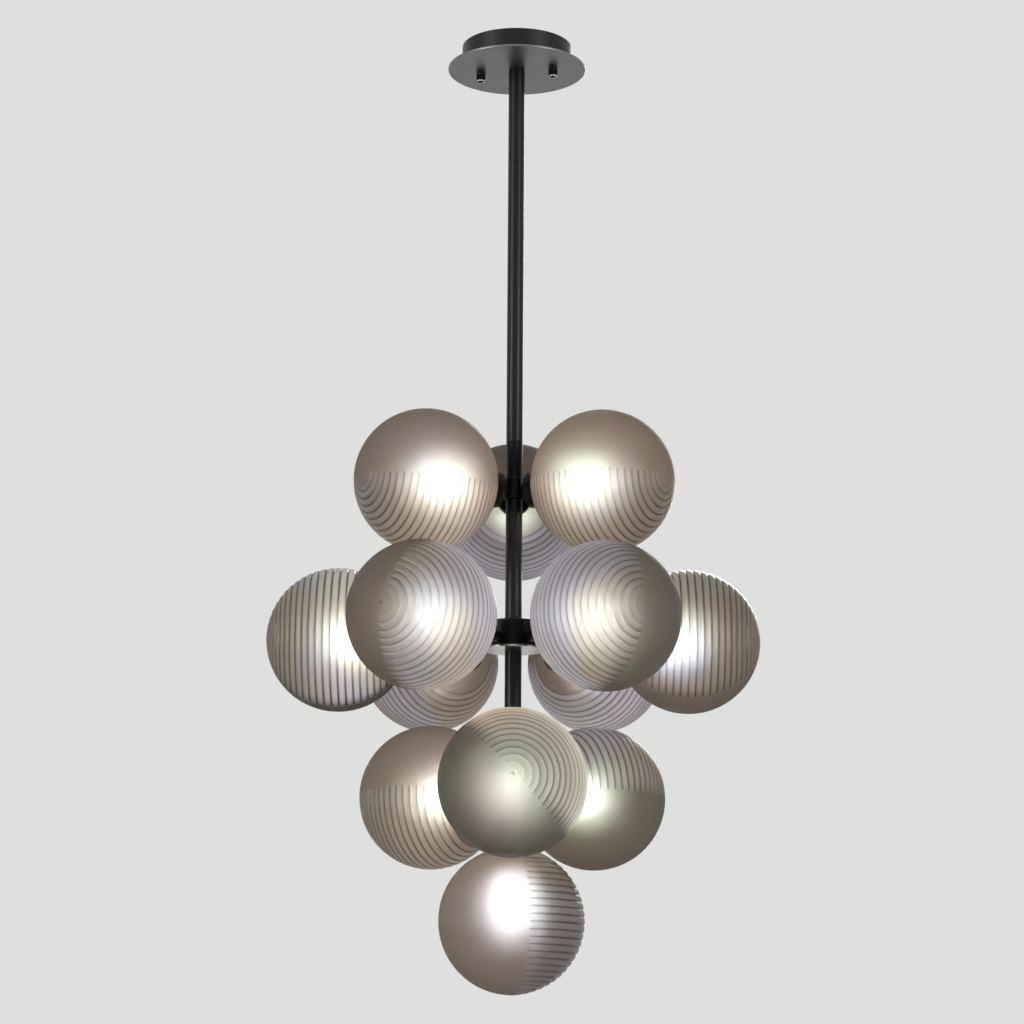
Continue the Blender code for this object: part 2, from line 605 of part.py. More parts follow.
def build_strap() -> None:
    """Ceiling strap with two screw slots and its two riveted studs, and the cap nuts."""
    outline = slot_outline(STRAP_LENGTH, STRAP_WIDTH, Vector())
    slots = [slot_outline(SLOT_LENGTH, SLOT_WIDTH, Vector((side * SLOT_REACH, 0.0, 0.0)))
             for side in (-1, 1)]
    strap = add_piece("ceiling_strap", extruded_mesh("ceiling_strap", outline, slots, -STRAP_THICKNESS, 0.0),
                      "zinc_steel", place=STRAP_TURN)
    collar = -STRAP_THICKNESS - STUD_COLLAR_HEIGHT
    tip = PLATE_UNDERSIDE - SEAT_GAP - CAP_NUT_BODY + STUD_TIP_GAP
    stud = [(0.0, -STRAP_THICKNESS / 2), (STUD_COLLAR_RADIUS, -STRAP_THICKNESS / 2),
            (STUD_COLLAR_RADIUS, collar), (STUD_RADIUS, collar), (STUD_RADIUS, tip), (0.0, tip)]
    mesh = turned_mesh("stud", stud, SMALL_SIDES)
    cap = cap_nut_mesh()
    for name, side in (("left", -1), ("right", 1)):
        place = STRAP_TURN @ Matrix.Translation((side * STUD_REACH, 0.0, 0.0))
        guide = add_piece("stud_" + name, mesh, "zinc_steel", place=place)
        join(strap, guide)
        place = place @ Matrix.Translation((0.0, 0.0, PLATE_UNDERSIDE - SEAT_GAP))
        add_piece("cap_nut_" + name, cap, "black_steel", place=place)


def cap_nut_mesh() -> bpy.types.Mesh:
    """Knurled nut with a blind bore and a domed end, hung from its flat top at zero."""
    bore = STUD_HOLE
    shape = bmesh.new()
    steps = 2 * CAP_NUT_KNURLS
    rows = [(0.0, -CAP_NUT_BODY, False), (bore, -CAP_NUT_BODY, False), (bore, 0.0, False),
            (CAP_NUT_RADIUS, 0.0, True), (CAP_NUT_RADIUS, -CAP_NUT_BODY, True),
            (CAP_NUT_RADIUS * CAP_NUT_SHOULDER_SHARE,
             -CAP_NUT_BODY - CAP_NUT_DOME * CAP_NUT_SHOULDER_SHARE, False),
            (0.0, -CAP_NUT_BODY - CAP_NUT_DOME, False)]
    rings = []
    for radius, height, knurled in rows:
        if radius == 0:
            rings.append([shape.verts.new((0.0, 0.0, height))])
            continue
        count = steps if knurled else SMALL_SIDES
        reach = [radius - (KNURL_DEPTH if knurled and step % 2 else 0.0) for step in range(count)]
        rings.append([shape.verts.new((reach[step] * math.cos(math.tau * step / count),
                                       reach[step] * math.sin(math.tau * step / count), height))
                      for step in range(count)])
    for upper, lower in zip(rings, rings[1:]):
        wide = [(step / len(upper), vert) for step, vert in enumerate(upper + upper[:1])]
        narrow = [(step / len(lower), vert) for step, vert in enumerate(lower + lower[:1])]
        if len(upper) == 1:
            wide = wide[:1]
        if len(lower) == 1:
            narrow = narrow[:1]
        stitch(shape, wide, narrow)
    return mesh_from(shape, "cap_nut")


def build_terminal_block() -> None:
    """Stepped connector block on the floor of the drum, behind the stem's lock nut."""
    low = FLOOR_TOP + SEAT_GAP
    half = TERMINAL_WIDTH / 2
    ledge = low + TERMINAL_HEIGHT - TERMINAL_STEP
    section = [(-half, low), (half, low), (half, ledge), (half - TERMINAL_STEP, ledge),
               (half - TERMINAL_STEP, low + TERMINAL_HEIGHT), (TERMINAL_STEP - half, low + TERMINAL_HEIGHT),
               (TERMINAL_STEP - half, ledge), (-half, ledge)]
    shape = bmesh.new()
    corners = [shape.verts.new((-TERMINAL_LENGTH / 2, TERMINAL_REACH + across, height))
               for across, height in section]
    end = shape.faces.new(corners)
    pulled = bmesh.ops.extrude_face_region(shape, geom=[end], use_keep_orig=True)
    moved = [item for item in pulled["geom"] if isinstance(item, bmesh.types.BMVert)]
    bmesh.ops.translate(shape, vec=(TERMINAL_LENGTH, 0.0, 0.0), verts=moved)
    add_piece("terminal_block", mesh_from(shape, "terminal_block"), "terminal_plastic")


def main() -> None:
    """Build the whole chandelier."""
    clear_scene()
    build_strap()
    build_canopy()
    build_terminal_block()
    build_stem()
    build_three_way_hub(1, TIER_1_HUB_TOP, HUB_RISER)
    build_six_way_hub()
    build_three_way_hub(3, TIER_3_HUB_TOP, 0.0)
    build_light_points()


main()
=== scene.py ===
"""Looks of a ceiling chandelier with thirteen half-reeded glass globes.

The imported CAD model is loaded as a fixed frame, and every visible part is then built
again as it is made in the workshop: blown glass, turned and milled steel, porcelain
lampholders and lit capsule lamps. All lengths are metres in the frame of the CAD
model, whose origin is the middle of the ceiling face of the fixing strap.
"""

import logging
import math
from dataclasses import dataclass
from enum import Enum
from typing import Optional, Sequence, Union

import bmesh
import bpy
from mathutils import Matrix, Vector


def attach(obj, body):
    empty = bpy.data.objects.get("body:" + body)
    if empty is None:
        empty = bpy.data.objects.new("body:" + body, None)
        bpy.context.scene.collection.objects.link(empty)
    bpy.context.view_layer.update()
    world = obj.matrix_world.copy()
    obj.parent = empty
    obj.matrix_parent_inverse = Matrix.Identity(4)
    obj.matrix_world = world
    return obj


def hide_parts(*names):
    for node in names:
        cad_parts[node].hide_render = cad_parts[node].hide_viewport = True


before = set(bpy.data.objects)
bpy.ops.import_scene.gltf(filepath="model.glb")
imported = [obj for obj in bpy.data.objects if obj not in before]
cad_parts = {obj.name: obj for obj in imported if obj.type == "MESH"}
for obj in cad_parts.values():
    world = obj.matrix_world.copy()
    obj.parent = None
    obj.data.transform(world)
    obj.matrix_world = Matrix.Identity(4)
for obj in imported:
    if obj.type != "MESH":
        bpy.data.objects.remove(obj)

LOG = logging.getLogger("chandelier")
Colour = tuple[float, float, float, float]
Outline = Sequence[tuple[float, float]]
Operand = Union["Field", float]

FIXED_BODY = "fixture"
MERGE_DISTANCE = 0.000001
SMOOTH_ANGLE = math.radians(40.0)
BEVEL_ANGLE = math.radians(35.0)
BEVEL_WEAR = 0.8
# An ease takes at most this share of a side, and the row that holds the flat beside it
# stands this many eases from the corner.
LARGEST_EASE = 0.4
HOLD = 2.5
ROUND_END_STEPS = 12
SIDES = (("left", -1), ("right", 1))


class Slot(Enum):
    """Material slots of the record."""

    SMOKED_GLASS = "smoked_glass"
    LAMP_GLASS = "lamp_glass"
    BLACK_STEEL = "black_steel"
    DARK_SATIN = "dark_satin"
    SATIN_PLATE = "satin_plate"
    ZINC_STEEL = "zinc_steel"
    WHITE_PLASTIC = "white_plastic"


class Tier(Enum):
    """Levels of light points, from the ceiling down."""

    UPPER = 1
    MIDDLE = 2
    LOWER = 3
    BOTTOM = 4


class Field:
    """The value of one node socket, on which arithmetic adds Math nodes."""

    def __init__(self, graph: "NodeGraph", socket: bpy.types.NodeSocket) -> None:
        """Keep the socket and the graph that it belongs to."""
        self.graph = graph
        self.socket = socket

    def __add__(self, other: Operand) -> "Field":
        """Sum of two values."""
        return self.graph.math("ADD", self, other)

    def __radd__(self, other: Operand) -> "Field":
        """Sum of two values, with the number first."""
        return self.graph.math("ADD", other, self)

    def __sub__(self, other: Operand) -> "Field":
        """Difference of two values."""
        return self.graph.math("SUBTRACT", self, other)

    def __rsub__(self, other: Operand) -> "Field":
        """Difference of two values, with the number first."""
        return self.graph.math("SUBTRACT", other, self)

    def __mul__(self, other: Operand) -> "Field":
        """Product of two values."""
        return self.graph.math("MULTIPLY", self, other)

    def __rmul__(self, other: Operand) -> "Field":
        """Product of two values, with the number first."""
        return self.graph.math("MULTIPLY", other, self)

    def __truediv__(self, other: Operand) -> "Field":
        """Quotient of two values."""
        return self.graph.math("DIVIDE", self, other)

    def __rtruediv__(self, other: Operand) -> "Field":
        """Quotient of two values, with the number first."""
        return self.graph.math("DIVIDE", other, self)

    def __pow__(self, other: Operand) -> "Field":
        """Power of a value."""
        return self.graph.math("POWER", self, other)

    def __gt__(self, other: Operand) -> "Field":
        """One where this value is the greater, and else zero."""
        return self.graph.math("GREATER_THAN", self, other)

    def __lt__(self, other: Operand) -> "Field":
        """One where this value is the smaller, and else zero."""
        return self.graph.math("LESS_THAN", self, other)

    def output(self, name: str) -> "Field":
        """Another output of the same node."""
        return Field(self.graph, self.graph.find(self.socket.node.outputs, name))


class NodeGraph:
    """Writes the nodes of one shader or geometry tree."""

    def __init__(self, tree: bpy.types.NodeTree) -> None:
        """Keep the tree."""
        self.tree = tree

    @staticmethod
    def find(sockets: bpy.types.NodeInputs, key: Union[str, int]) -> bpy.types.NodeSocket:
        """Socket of a node by its place, its identifier or its name.

        Args:
            sockets: The inputs or the outputs of a node.
            key: The socket's place, identifier or name.

        Returns:
            The socket.
        """
        if isinstance(key, int):
            return sockets[key]
        return next(socket for socket in sockets if key in (socket.identifier, socket.name))

    def node(self, kind: str, settings: Optional[dict] = None, sockets: Optional[dict] = None,
             output: Union[str, int] = 0) -> Optional[Field]:
        """Add one node.

        Args:
            kind: The node's type.
            settings: Its settings, which are set first.
            sockets: Values or links of its inputs.
            output: The output to give back.

        Returns:
            The named output, or nothing for a node that has none.
        """
        made = self.tree.nodes.new(kind)
        for key, value in (settings or {}).items():
            setattr(made, key, value)
        for key, value in (sockets or {}).items():
            socket = self.find(made.inputs, key)
            if isinstance(value, Field):
                self.tree.links.new(value.socket, socket)
            else:
                socket.default_value = value
        return Field(self, self.find(made.outputs, output)) if len(made.outputs) else None

    def math(self, operation: str, *values: Operand) -> Field:
        """One Math node on values."""
        return self.node("ShaderNodeMath", {"operation": operation}, dict(enumerate(values)))

    def vector(self, operation: str, sockets: dict, output: Union[str, int] = 0) -> Field:
        """One Vector Math node."""
        return self.node("ShaderNodeVectorMath", {"operation": operation}, sockets, output)

    def smooth_step(self, value: Field, low: float, high: float) -> Field:
        """Zero below low, one above high and a smooth rise between."""
        return self.node("ShaderNodeMapRange", {"interpolation_type": "SMOOTHSTEP"},
                         {"Value": value, "From Min": low, "From Max": high}, "Result")

    def blend(self, first: Union[Field, Colour], second: Union[Field, Colour], factor: Operand) -> Field:
        """Mix of two colours."""
        return self.node("ShaderNodeMix", {"data_type": "RGBA", "blend_type": "MIX"},
                         {"Factor_Float": factor, "A_Color": first, "B_Color": second}, "Result_Color")

    def attribute(self, name: str) -> Field:
        """A number kept on the piece's own points."""
        return self.node("ShaderNodeAttribute", {"attribute_name": name}, output="Fac")

    def place(self) -> Field:
        """The piece's object coordinates."""
        return self.node("ShaderNodeTexCoord", output="Object")

    def noise(self, scale: float, detail: float = 2.0, vector: Optional[Field] = None) -> Field:
        """Noise over the piece's object coordinates, or over a vector."""
        return self.node("ShaderNodeTexNoise", {"noise_dimensions": "3D"},
                         {"Vector": vector or self.place(), "Scale": scale, "Detail": detail})

    def rings(self, per_metre: float) -> Field:
        """Fine lathe rings: noise that only changes along a turned piece's outline."""
        along = self.node("ShaderNodeCombineXYZ", sockets={"X": self.attribute("run")})
        return self.noise(per_metre, 3.0, along)

    def bump(self, height: Field, distance: float, strength: float = 1.0) -> Field:
        """Normal disturbed by a height."""
        return self.node("ShaderNodeBump", sockets={
            "Height": height, "Distance": distance, "Strength": strength}, output="Normal")

    def principled(self, sockets: dict) -> Field:
        """The surface shader of a finish."""
        return self.node("ShaderNodeBsdfPrincipled", sockets=sockets, output="BSDF")


def shaded(colour: Colour, share: float) -> Colour:
    """A colour taken down to a share of itself."""
    return tuple(channel * share for channel in colour[:3]) + (1.0,)


@dataclass(frozen=True)
class Finish:
    """What all finishes share: a name and the record slot that they belong to."""

    name: str
    slot: Slot

    def surface(self, graph: NodeGraph) -> Field:
        """Shader of the finish, written into a graph."""
        raise NotImplementedError

    def material(self) -> bpy.types.Material:
        """The material of the finish, made on first use.

        Returns:
            The material.
        """
        title = "dressed_" + self.name
        found = bpy.data.materials.get(title)
        if found:
            return found
        made = bpy.data.materials.new(title)
        made.use_nodes = True
        made.node_tree.nodes.clear()
        graph = NodeGraph(made.node_tree)
        graph.node("ShaderNodeOutputMaterial", sockets={"Surface": self.surface(graph)})
        made.cycles.emission_sampling = "NONE"
        return made


@dataclass(frozen=True)
class SmokedGlass(Finish):
    """Smoked, acid-frosted glass, lit by the lamp behind it, with more of the lamp's glow painted on as
    emission.

    The plain glass drifts between smoke, mauve and olive, and the reeded glass
    between cream, lilac and sage. The scales are in cycles per metre or so.
    """

    smoke: Colour = (0.275, 0.222, 0.180, 1.0)
    olive: Colour = (0.250, 0.234, 0.170, 1.0)
    cream: Colour = (0.33, 0.266, 0.204, 1.0)
    sage: Colour = (0.31, 0.30, 0.25, 1.0)
    lilac: Colour = (0.31, 0.288, 0.322, 1.0)
    mauve: Colour = (0.275, 0.228, 0.225, 1.0)
    # Painted shade laid into the valleys between the reeds.
    groove: Colour = (0.030, 0.024, 0.021, 1.0)
    # Colour of the glow painted on the glass where the lamp lights it.
    glow: Colour = (0.094, 0.074, 0.056, 1.0)
    drift: float = 0.8
    tone_lean: float = 0.4
    # How far the colour is painted cooler round the lamp.
    lamp_lean: float = 0.14
    clear: float = 0.84
    frost: float = 0.80
    refraction: float = 1.33
    gloss: float = 0.25
    coat: float = 0.05
    reed_coat: float = 0.40
    # The next three numbers set the painted shade that darkens the glass towards its rim as it is seen.
    edge: float = 0.9
    edge_depth: float = 1.7
    edge_shade: float = 0.22
    cloud_scale: float = 38.0
    cool_scale: float = 7.0
    warm_scale: float = 9.0
    warm_shift: tuple[float, float, float] = (3.1, 1.7, 0.4)
    grain_scale: float = 1400.0
    ripple_scale: float = 55.0
    grain_depth: float = 0.00035
    # Strength of the highlight painted on the reeds.
    sparkle: float = 1.3

    def surface(self, graph: NodeGraph) -> Field:
        """Rough clear glass over a smoky body, with painted shade in the valleys between the reeds and
        towards the rim, and a glow from the lamp painted on as emission.

        Args:
            graph: The graph to write into.

        Returns:
            The shader.
        """
        reeded = graph.attribute("reeded")
        cloud = graph.noise(self.cloud_scale, 3.0)
        grazing = graph.node("ShaderNodeLayerWeight", sockets={"Blend": 0.5}, output="Facing")
        # Painted shade in the valleys between the reeds: it comes up with the reeds away from the pole and is
        # stronger where the glass is seen edge-on. Near the pole the reeded tint shows the same way.
        reeds_seen = graph.math("MAXIMUM", graph.attribute("settled"), graph.smooth_step(grazing, 0.05, 0.40))
        shown = reeded * reeds_seen
        line = graph.smooth_step(graph.attribute("valley"), 0.10, 0.76) * reeds_seen * graph.math(
            "MINIMUM", 0.55 + cloud * 0.25 + grazing * 0.5, 1.0)
        near = self.near_lamp(graph)
        plain, ribbed = self.tints(graph, reeded, near)
        # Painted shade: the glass darkens towards the rim as it turns edge-on to the view.
        rim_shade = grazing ** self.edge_depth * self.edge
        body = graph.blend(plain, ribbed, shown)
        level = graph.attribute("level")
        grain = graph.noise(self.grain_scale, 2.0) * 0.35 + graph.noise(self.ripple_scale, 1.0)
        # Painted glow: emission on the glass that follows how strongly the lamp lights each point. It is
        # weaker towards the rim and where the reeds carry their painted highlight.
        spread = (0.8 + cloud * 0.4) * (1 - rim_shade * 0.6)
        # Painted highlight on the reeds round the lamp: emission in the reeded colour, none in the valleys,
        # coming up from where the reeds end.
        shining = shown * graph.attribute("inward")
        painted_glow = graph.vector("SCALE", {0: self.glow[:3], "Scale": (
            graph.attribute("lit") * (1 - shining * 0.8) * spread * graph.attribute("painted_glow"))})
        painted_reed_glow = graph.vector("SCALE", {0: ribbed, "Scale": (
            shining * near * (1 - line * 0.95) * spread * graph.attribute("painted_shine") * self.sparkle)})
        return graph.principled({
            "Base Color": graph.blend(graph.blend(body, self.groove, line),
                                      shaded(self.smoke, self.edge_shade), rim_shade),
            "IOR": self.refraction,
            "Roughness": self.frost + (level - 0.8) * 0.05 + (cloud - 0.5) * 0.1 + reeded * 0.04,
            "Specular IOR Level": self.gloss, "Transmission Weight": self.clear,
            "Coat Weight": self.coat + reeded * self.reed_coat, "Coat Roughness": 0.12,
            "Emission Color": graph.vector("ADD", {0: painted_glow, 1: painted_reed_glow}), "Emission Strength": 1.0,
            "Normal": graph.bump(grain, self.grain_depth, 0.5)})

    def near_lamp(self, graph: NodeGraph) -> Field:
        """One in the band of glass that lies round the lamp, less in front of it and none far off."""
        # This band places the painted highlight on the reeds and the painted cooler colour.
        lit = graph.attribute("lit")
        return graph.smooth_step(lit, 0.50, 1.0) * (1 - graph.smooth_step(lit, 1.05, 1.5) * 0.55)

    def tints(self, graph: NodeGraph, reeded: Field, near: Field) -> tuple[Field, Field]:
        """Drifting colours of the glass.

        Args:
            graph: The graph to write into.
            reeded: One on the reeded half.
            near: One round the lamp, where the colour is painted cooler, as the lamp's light makes it look.

        Returns:
            The colours of the plain and of the reeded glass.
        """
        tone, reed_tone = graph.attribute("tone"), graph.attribute("reed_tone")
        lean = (tone + (reed_tone - tone) * reeded - 0.5) * self.tone_lean
        # Painted light: the colour turns cooler in the band round the lamp.
        cooled = graph.noise(self.cool_scale, 1.0) + lean + (near - 0.5) * self.lamp_lean
        cool = graph.smooth_step(cooled, 0.49, 0.63)
        elsewhere = graph.vector("ADD", {0: graph.place(), 1: self.warm_shift})
        warm = graph.smooth_step(graph.noise(self.warm_scale, 1.0, elsewhere) - lean, 0.50, 0.66) * self.drift
        plain = graph.blend(graph.blend(self.smoke, self.mauve, cool * self.drift), self.olive, warm)
        ribbed = graph.blend(graph.blend(self.cream, self.lilac, cool), self.sage, warm)
        return plain, ribbed


@dataclass(frozen=True)
class LitLamp(Finish):
    """Frosted capsule lamp, switched on above its plain base."""

    base: Colour = (0.80, 0.79, 0.76, 1.0)
    light: Colour = (0.73, 0.89, 1.0, 1.0)
    strength: float = 500.0
    base_length: float = 0.022
    rise: float = 0.012
    lit_end: float = 0.050
    fall: float = 0.018
    end_loss: float = 0.85
    mottle_scale: float = 260.0

    def surface(self, graph: NodeGraph) -> Field:
        """Emission that starts above the base and falls off towards the round end.

        Args:
            graph: The graph to write into.

        Returns:
            The shader.
        """
        run = graph.attribute("run")
        risen = graph.smooth_step(run, self.base_length, self.base_length + self.rise)
        fallen = graph.smooth_step(run, self.lit_end, self.lit_end + self.fall) * self.end_loss
        above = risen * (1 - fallen) * graph.attribute("level")
        mottle = graph.noise(self.mottle_scale, 2.0)
        return graph.principled({
            "Base Color": self.base, "Roughness": 0.35 + mottle * 0.2,
            "Emission Color": graph.blend((0.0, 0.0, 0.0, 1.0), self.light, above),
            "Emission Strength": self.strength})


@dataclass(frozen=True)
class Steel(Finish):
    """Turned or pressed steel with a coloured skin that thins out on its edges. On the cap nut a near-white
    edge colour paints a glint.
    """

    skin: Colour = (0.016, 0.016, 0.017, 1.0)
    worn_and_glint: Colour = (0.10, 0.10, 0.105, 1.0)
    roughness: float = 0.34
    ring_depth: float = 0.00004
    ring_scale: float = 1500.0
    ring_shade: float = 0.72
    metallic: float = 0.9
    wear_and_glint: float = 0.6
    mark_scale: float = 34.0
    speckle_scale: float = 900.0

    def surface(self, graph: NodeGraph) -> Field:
        """Fine lathe rings, faint handling marks, edges scuffed to the metal and, on the cap nut, a painted
        glint.

        Args:
            graph: The graph to write into.

        Returns:
            The shader.
        """
        rings = graph.rings(self.ring_scale)
        marks = graph.noise(self.mark_scale, 4.0)
        speckle = graph.noise(self.speckle_scale, 2.0)
        # Edges scuffed to the metal; on the cap nut the same mask lays a painted glint on its eased top edge
        # and round the foot of its dome.
        rub_and_glint = graph.smooth_step(graph.attribute("wear_and_glint") * (0.55 + marks * 0.9), 0.45, 1.0) * self.wear_and_glint
        turned_skin = graph.blend(self.skin, shaded(self.skin, self.ring_shade), rings)
        rough = self.roughness - 0.09 + marks * 0.16 + rings * 0.05
        height = rings * 0.8 + speckle * 0.2
        return graph.principled({
            "Base Color": graph.blend(turned_skin, self.worn_and_glint, rub_and_glint), "Metallic": self.metallic,
            "Roughness": rough - rub_and_glint * 0.08,
            "Normal": graph.bump(height, self.ring_depth, 0.6)})


@dataclass(frozen=True)
class ZincPlate(Finish):
    """Bright zinc plating with a faint spangle."""

    bright: Colour = (0.52, 0.53, 0.55, 1.0)
    dull: Colour = (0.36, 0.37, 0.40, 1.0)
    spangle_scale: float = 240.0
    spangle_depth: float = 0.00003
    stain_scale: float = 60.0

    def surface(self, graph: NodeGraph) -> Field:
        """Crystals of two greys, with stains.

        Args:
            graph: The graph to write into.

        Returns:
            The shader.
        """
        spangle = graph.node("ShaderNodeTexVoronoi", {"feature": "F1"},
                             {"Vector": graph.place(), "Scale": self.spangle_scale}, "Color")
        flake = graph.node("ShaderNodeSeparateColor", sockets={0: spangle})
        stain = graph.noise(self.stain_scale, 4.0)
        colour = graph.blend(self.bright, self.dull, flake * 0.5 + stain * 0.45)
        return graph.principled({
            "Base Color": colour, "Metallic": 1.0, "Roughness": 0.30 + stain * 0.22,
            "Normal": graph.bump(flake, self.spangle_depth, 0.4)})


@dataclass(frozen=True)
class Glazed(Finish):
    """Glazed porcelain or moulded plastic."""

    body: Colour = (0.78, 0.77, 0.73, 1.0)
    soil: Colour = (0.52, 0.49, 0.43, 1.0)
    roughness: float = 0.28
    coat: float = 0.5
    soil_scale: float = 90.0
    wave_scale: float = 180.0
    wave_depth: float = 0.00008

    def surface(self, graph: NodeGraph) -> Field:
        """A pale body with faint soiling and a slightly wavy skin.

        Args:
            graph: The graph to write into.

        Returns:
            The shader.
        """
        soiling = graph.smooth_step(graph.noise(self.soil_scale, 5.0), 0.55, 0.80)
        wave = graph.noise(self.wave_scale, 2.0)
        return graph.principled({
            "Base Color": graph.blend(self.body, self.soil, soiling * 0.35),
            "Roughness": self.roughness + soiling * 0.2, "Coat Weight": self.coat, "Coat Roughness": 0.12,
            "Normal": graph.bump(wave, self.wave_depth, 0.5)})


SMOKED_GLASS = SmokedGlass("smoked_glass", Slot.SMOKED_GLASS)
LIT_LAMP = LitLamp("lit_lamp", Slot.LAMP_GLASS)
BLACK_STEEL = Steel("black_steel", Slot.BLACK_STEEL, skin=(0.011, 0.011, 0.012, 1.0), wear_and_glint=0.45)
STEM_STEEL = Steel("stem_steel", Slot.DARK_SATIN, skin=(0.022, 0.022, 0.0225, 1.0))
# The cap nut's near-white edge colour is a painted glint, on its eased top edge and round the foot of its
# dome.
NUT_STEEL = Steel("nut_steel", Slot.BLACK_STEEL, skin=(0.014, 0.014, 0.015, 1.0),
                  worn_and_glint=(0.85, 0.85, 0.86, 1.0), roughness=0.26, wear_and_glint=1.0)
DRUM_STEEL = Steel("drum_steel", Slot.DARK_SATIN, skin=(0.030, 0.030, 0.031, 1.0), roughness=0.36)
# The canopy plate and the hub cover are one satin steel in two copies: the plate's darker copy paints the
# shade of dark surroundings, and the cover's lighter copy paints the light of the glowing globes below it.
SHADED_PLATE_STEEL = Steel("shaded_plate_steel", Slot.SATIN_PLATE, skin=(0.20, 0.20, 0.20, 1.0),
                    worn_and_glint=(0.42, 0.42, 0.42, 1.0), metallic=1.0, roughness=0.36)
LIT_COVER_STEEL = Steel("lit_cover_steel", Slot.SATIN_PLATE, skin=(0.57, 0.575, 0.54, 1.0),
                    worn_and_glint=(0.78, 0.78, 0.75, 1.0), metallic=1.0, roughness=0.27)
ZINC = ZincPlate("zinc_plate", Slot.ZINC_STEEL)
PORCELAIN = Glazed("porcelain", Slot.WHITE_PLASTIC)
TERMINAL_PLASTIC = Glazed("terminal_plastic", Slot.WHITE_PLASTIC, body=(0.70, 0.70, 0.67, 1.0),
                          roughness=0.45, coat=0.0)


@dataclass(frozen=True)
class Row:
    """One row of points round a turned body.

    The edge mark is set on edges scuffed to the metal, and on the cap nut on rows that carry a painted glint;
    outer marks the skin that a tool may press in.
    """

    radius: float
    height: float
    wear_and_glint: float = 0.0
    outer: float = 0.0


def close_up(mesh: bpy.types.Mesh) -> bpy.types.Mesh:
    """Merge a mesh's doubles, turn its faces outwards and shade it.

    Args:
        mesh: A closed mesh.

    Returns:
        The same mesh.
    """
    shape = bmesh.new()
    shape.from_mesh(mesh)
    bmesh.ops.remove_doubles(shape, verts=shape.verts, dist=MERGE_DISTANCE)
    bmesh.ops.recalc_face_normals(shape, faces=shape.faces)
    shape.to_mesh(mesh)
    shape.free()
    mesh.shade_smooth()
    mesh.set_sharp_from_angle(angle=SMOOTH_ANGLE)
    return mesh


def eased(outline: Outline, ease: float, ring: bool = False) -> list[Row]:
    """Round the corners of a turned body's outline.

    Args:
        outline: Its (radius, height) corners.
        ease: Largest length taken off each side of a corner.
        ring: Whether the outline closes on itself instead of on the axis.

    Returns:
        Rows of points, with wear on the corners that stand out.
    """
    corners = [Vector(corner) for corner in outline]
    area = sum(first.cross(second) for first, second in zip(corners, corners[1:] + corners[:1]))
    rows = []
    for index, corner in enumerate(corners):
        if not ring and index in (0, len(corners) - 1):
            rows.append(Row(corner.x, corner.y))
            continue
        before = corners[index - 1] - corner
        after = corners[(index + 1) % len(corners)] - corner
        cut = min(ease, before.length * LARGEST_EASE, after.length * LARGEST_EASE)
        stands_out = 1.0 if after.cross(before) * area > 0 else 0.0
        start = corner + before.normalized() * cut
        end = corner + after.normalized() * cut
        if before.length / 2 > cut * HOLD:
            hold = corner + before.normalized() * cut * HOLD
            rows.append(Row(hold.x, hold.y))
        for share in (0.0, 0.25, 0.5, 0.75, 1.0):
            point = start * (1 - share) ** 2 + corner * 2 * share * (1 - share) + end * share ** 2
            rows.append(Row(point.x, point.y, stands_out * (1 - abs(share - 0.5))))
        if after.length / 2 > cut * HOLD:
            hold = corner + after.normalized() * cut * HOLD
            rows.append(Row(hold.x, hold.y))
    return rows


def dome(radius: float, foot: float, rise: float, steps: int, worn_and_glint: Sequence[int] = ()) -> list[Row]:
    """Rows over a rounded end, from above its foot to the axis.

    Args:
        radius: Radius at the foot.
        foot: Height of the foot.
        rise: Height from the foot to the end, below zero for one that hangs.
        steps: How many rows.
        worn_and_glint: Which of them take the edge colour, counted from one; on the cap nut these carry a
            painted glint.

    Returns:
        The rows.
    """
    rows = []
    for step in range(1, steps + 1):
        turn = math.pi / 2 * step / steps
        rows.append(Row(radius * math.cos(turn), foot + rise * math.sin(turn), 1.0 if step in worn_and_glint else 0.0))
    return rows


def turned(name: str, rows: Sequence[Row], turns: Sequence[float], ring: bool = False) -> bpy.types.Mesh:
    """Spin rows of points about Z into a closed mesh.

    Args:
        name: Name of the mesh.
        rows: Rows from one end of the outline to the other.
        turns: The columns' angles about Z, in radians.
        ring: Whether the last row joins the first.

    Returns:
        A mesh with wear, outer and run kept on its points.
    """
    points = []
    kept = {"wear_and_glint": [], "outer": [], "run": []}
    places = []
    run = 0.0
    for index, row in enumerate(rows):
        if index:
            run += math.hypot(row.radius - rows[index - 1].radius, row.height - rows[index - 1].height)
        on_axis = abs(row.radius) < MERGE_DISTANCE
        count = 1 if on_axis else len(turns)
        places.append([len(points) + (0 if on_axis else step) for step in range(len(turns))])
        for turn in turns[:count]:
            points.append((row.radius * math.cos(turn), row.radius * math.sin(turn), row.height))
            kept["wear_and_glint"].append(row.wear_and_glint)
            kept["outer"].append(row.outer)
            kept["run"].append(run)
    faces = []
    pairs = list(zip(places, places[1:]))
    if ring:
        pairs.append((places[-1], places[0]))
    for upper, lower in pairs:
        for step in range(len(turns)):
            after = (step + 1) % len(turns)
            corners = [upper[step], upper[after], lower[after], lower[step]]
            face = list(dict.fromkeys(corners))
            if len(face) > 2:
                faces.append(face)
    mesh = bpy.data.meshes.new(name)
    mesh.from_pydata(points, [], faces)
    for title, values in kept.items():
        mesh.attributes.new(title, "FLOAT", "POINT").data.foreach_set("value", values)
    return close_up(mesh)


def even_turns(sides: int) -> list[float]:
    """Angles of evenly spaced columns."""
    return [math.tau * side / sides for side in range(sides)]


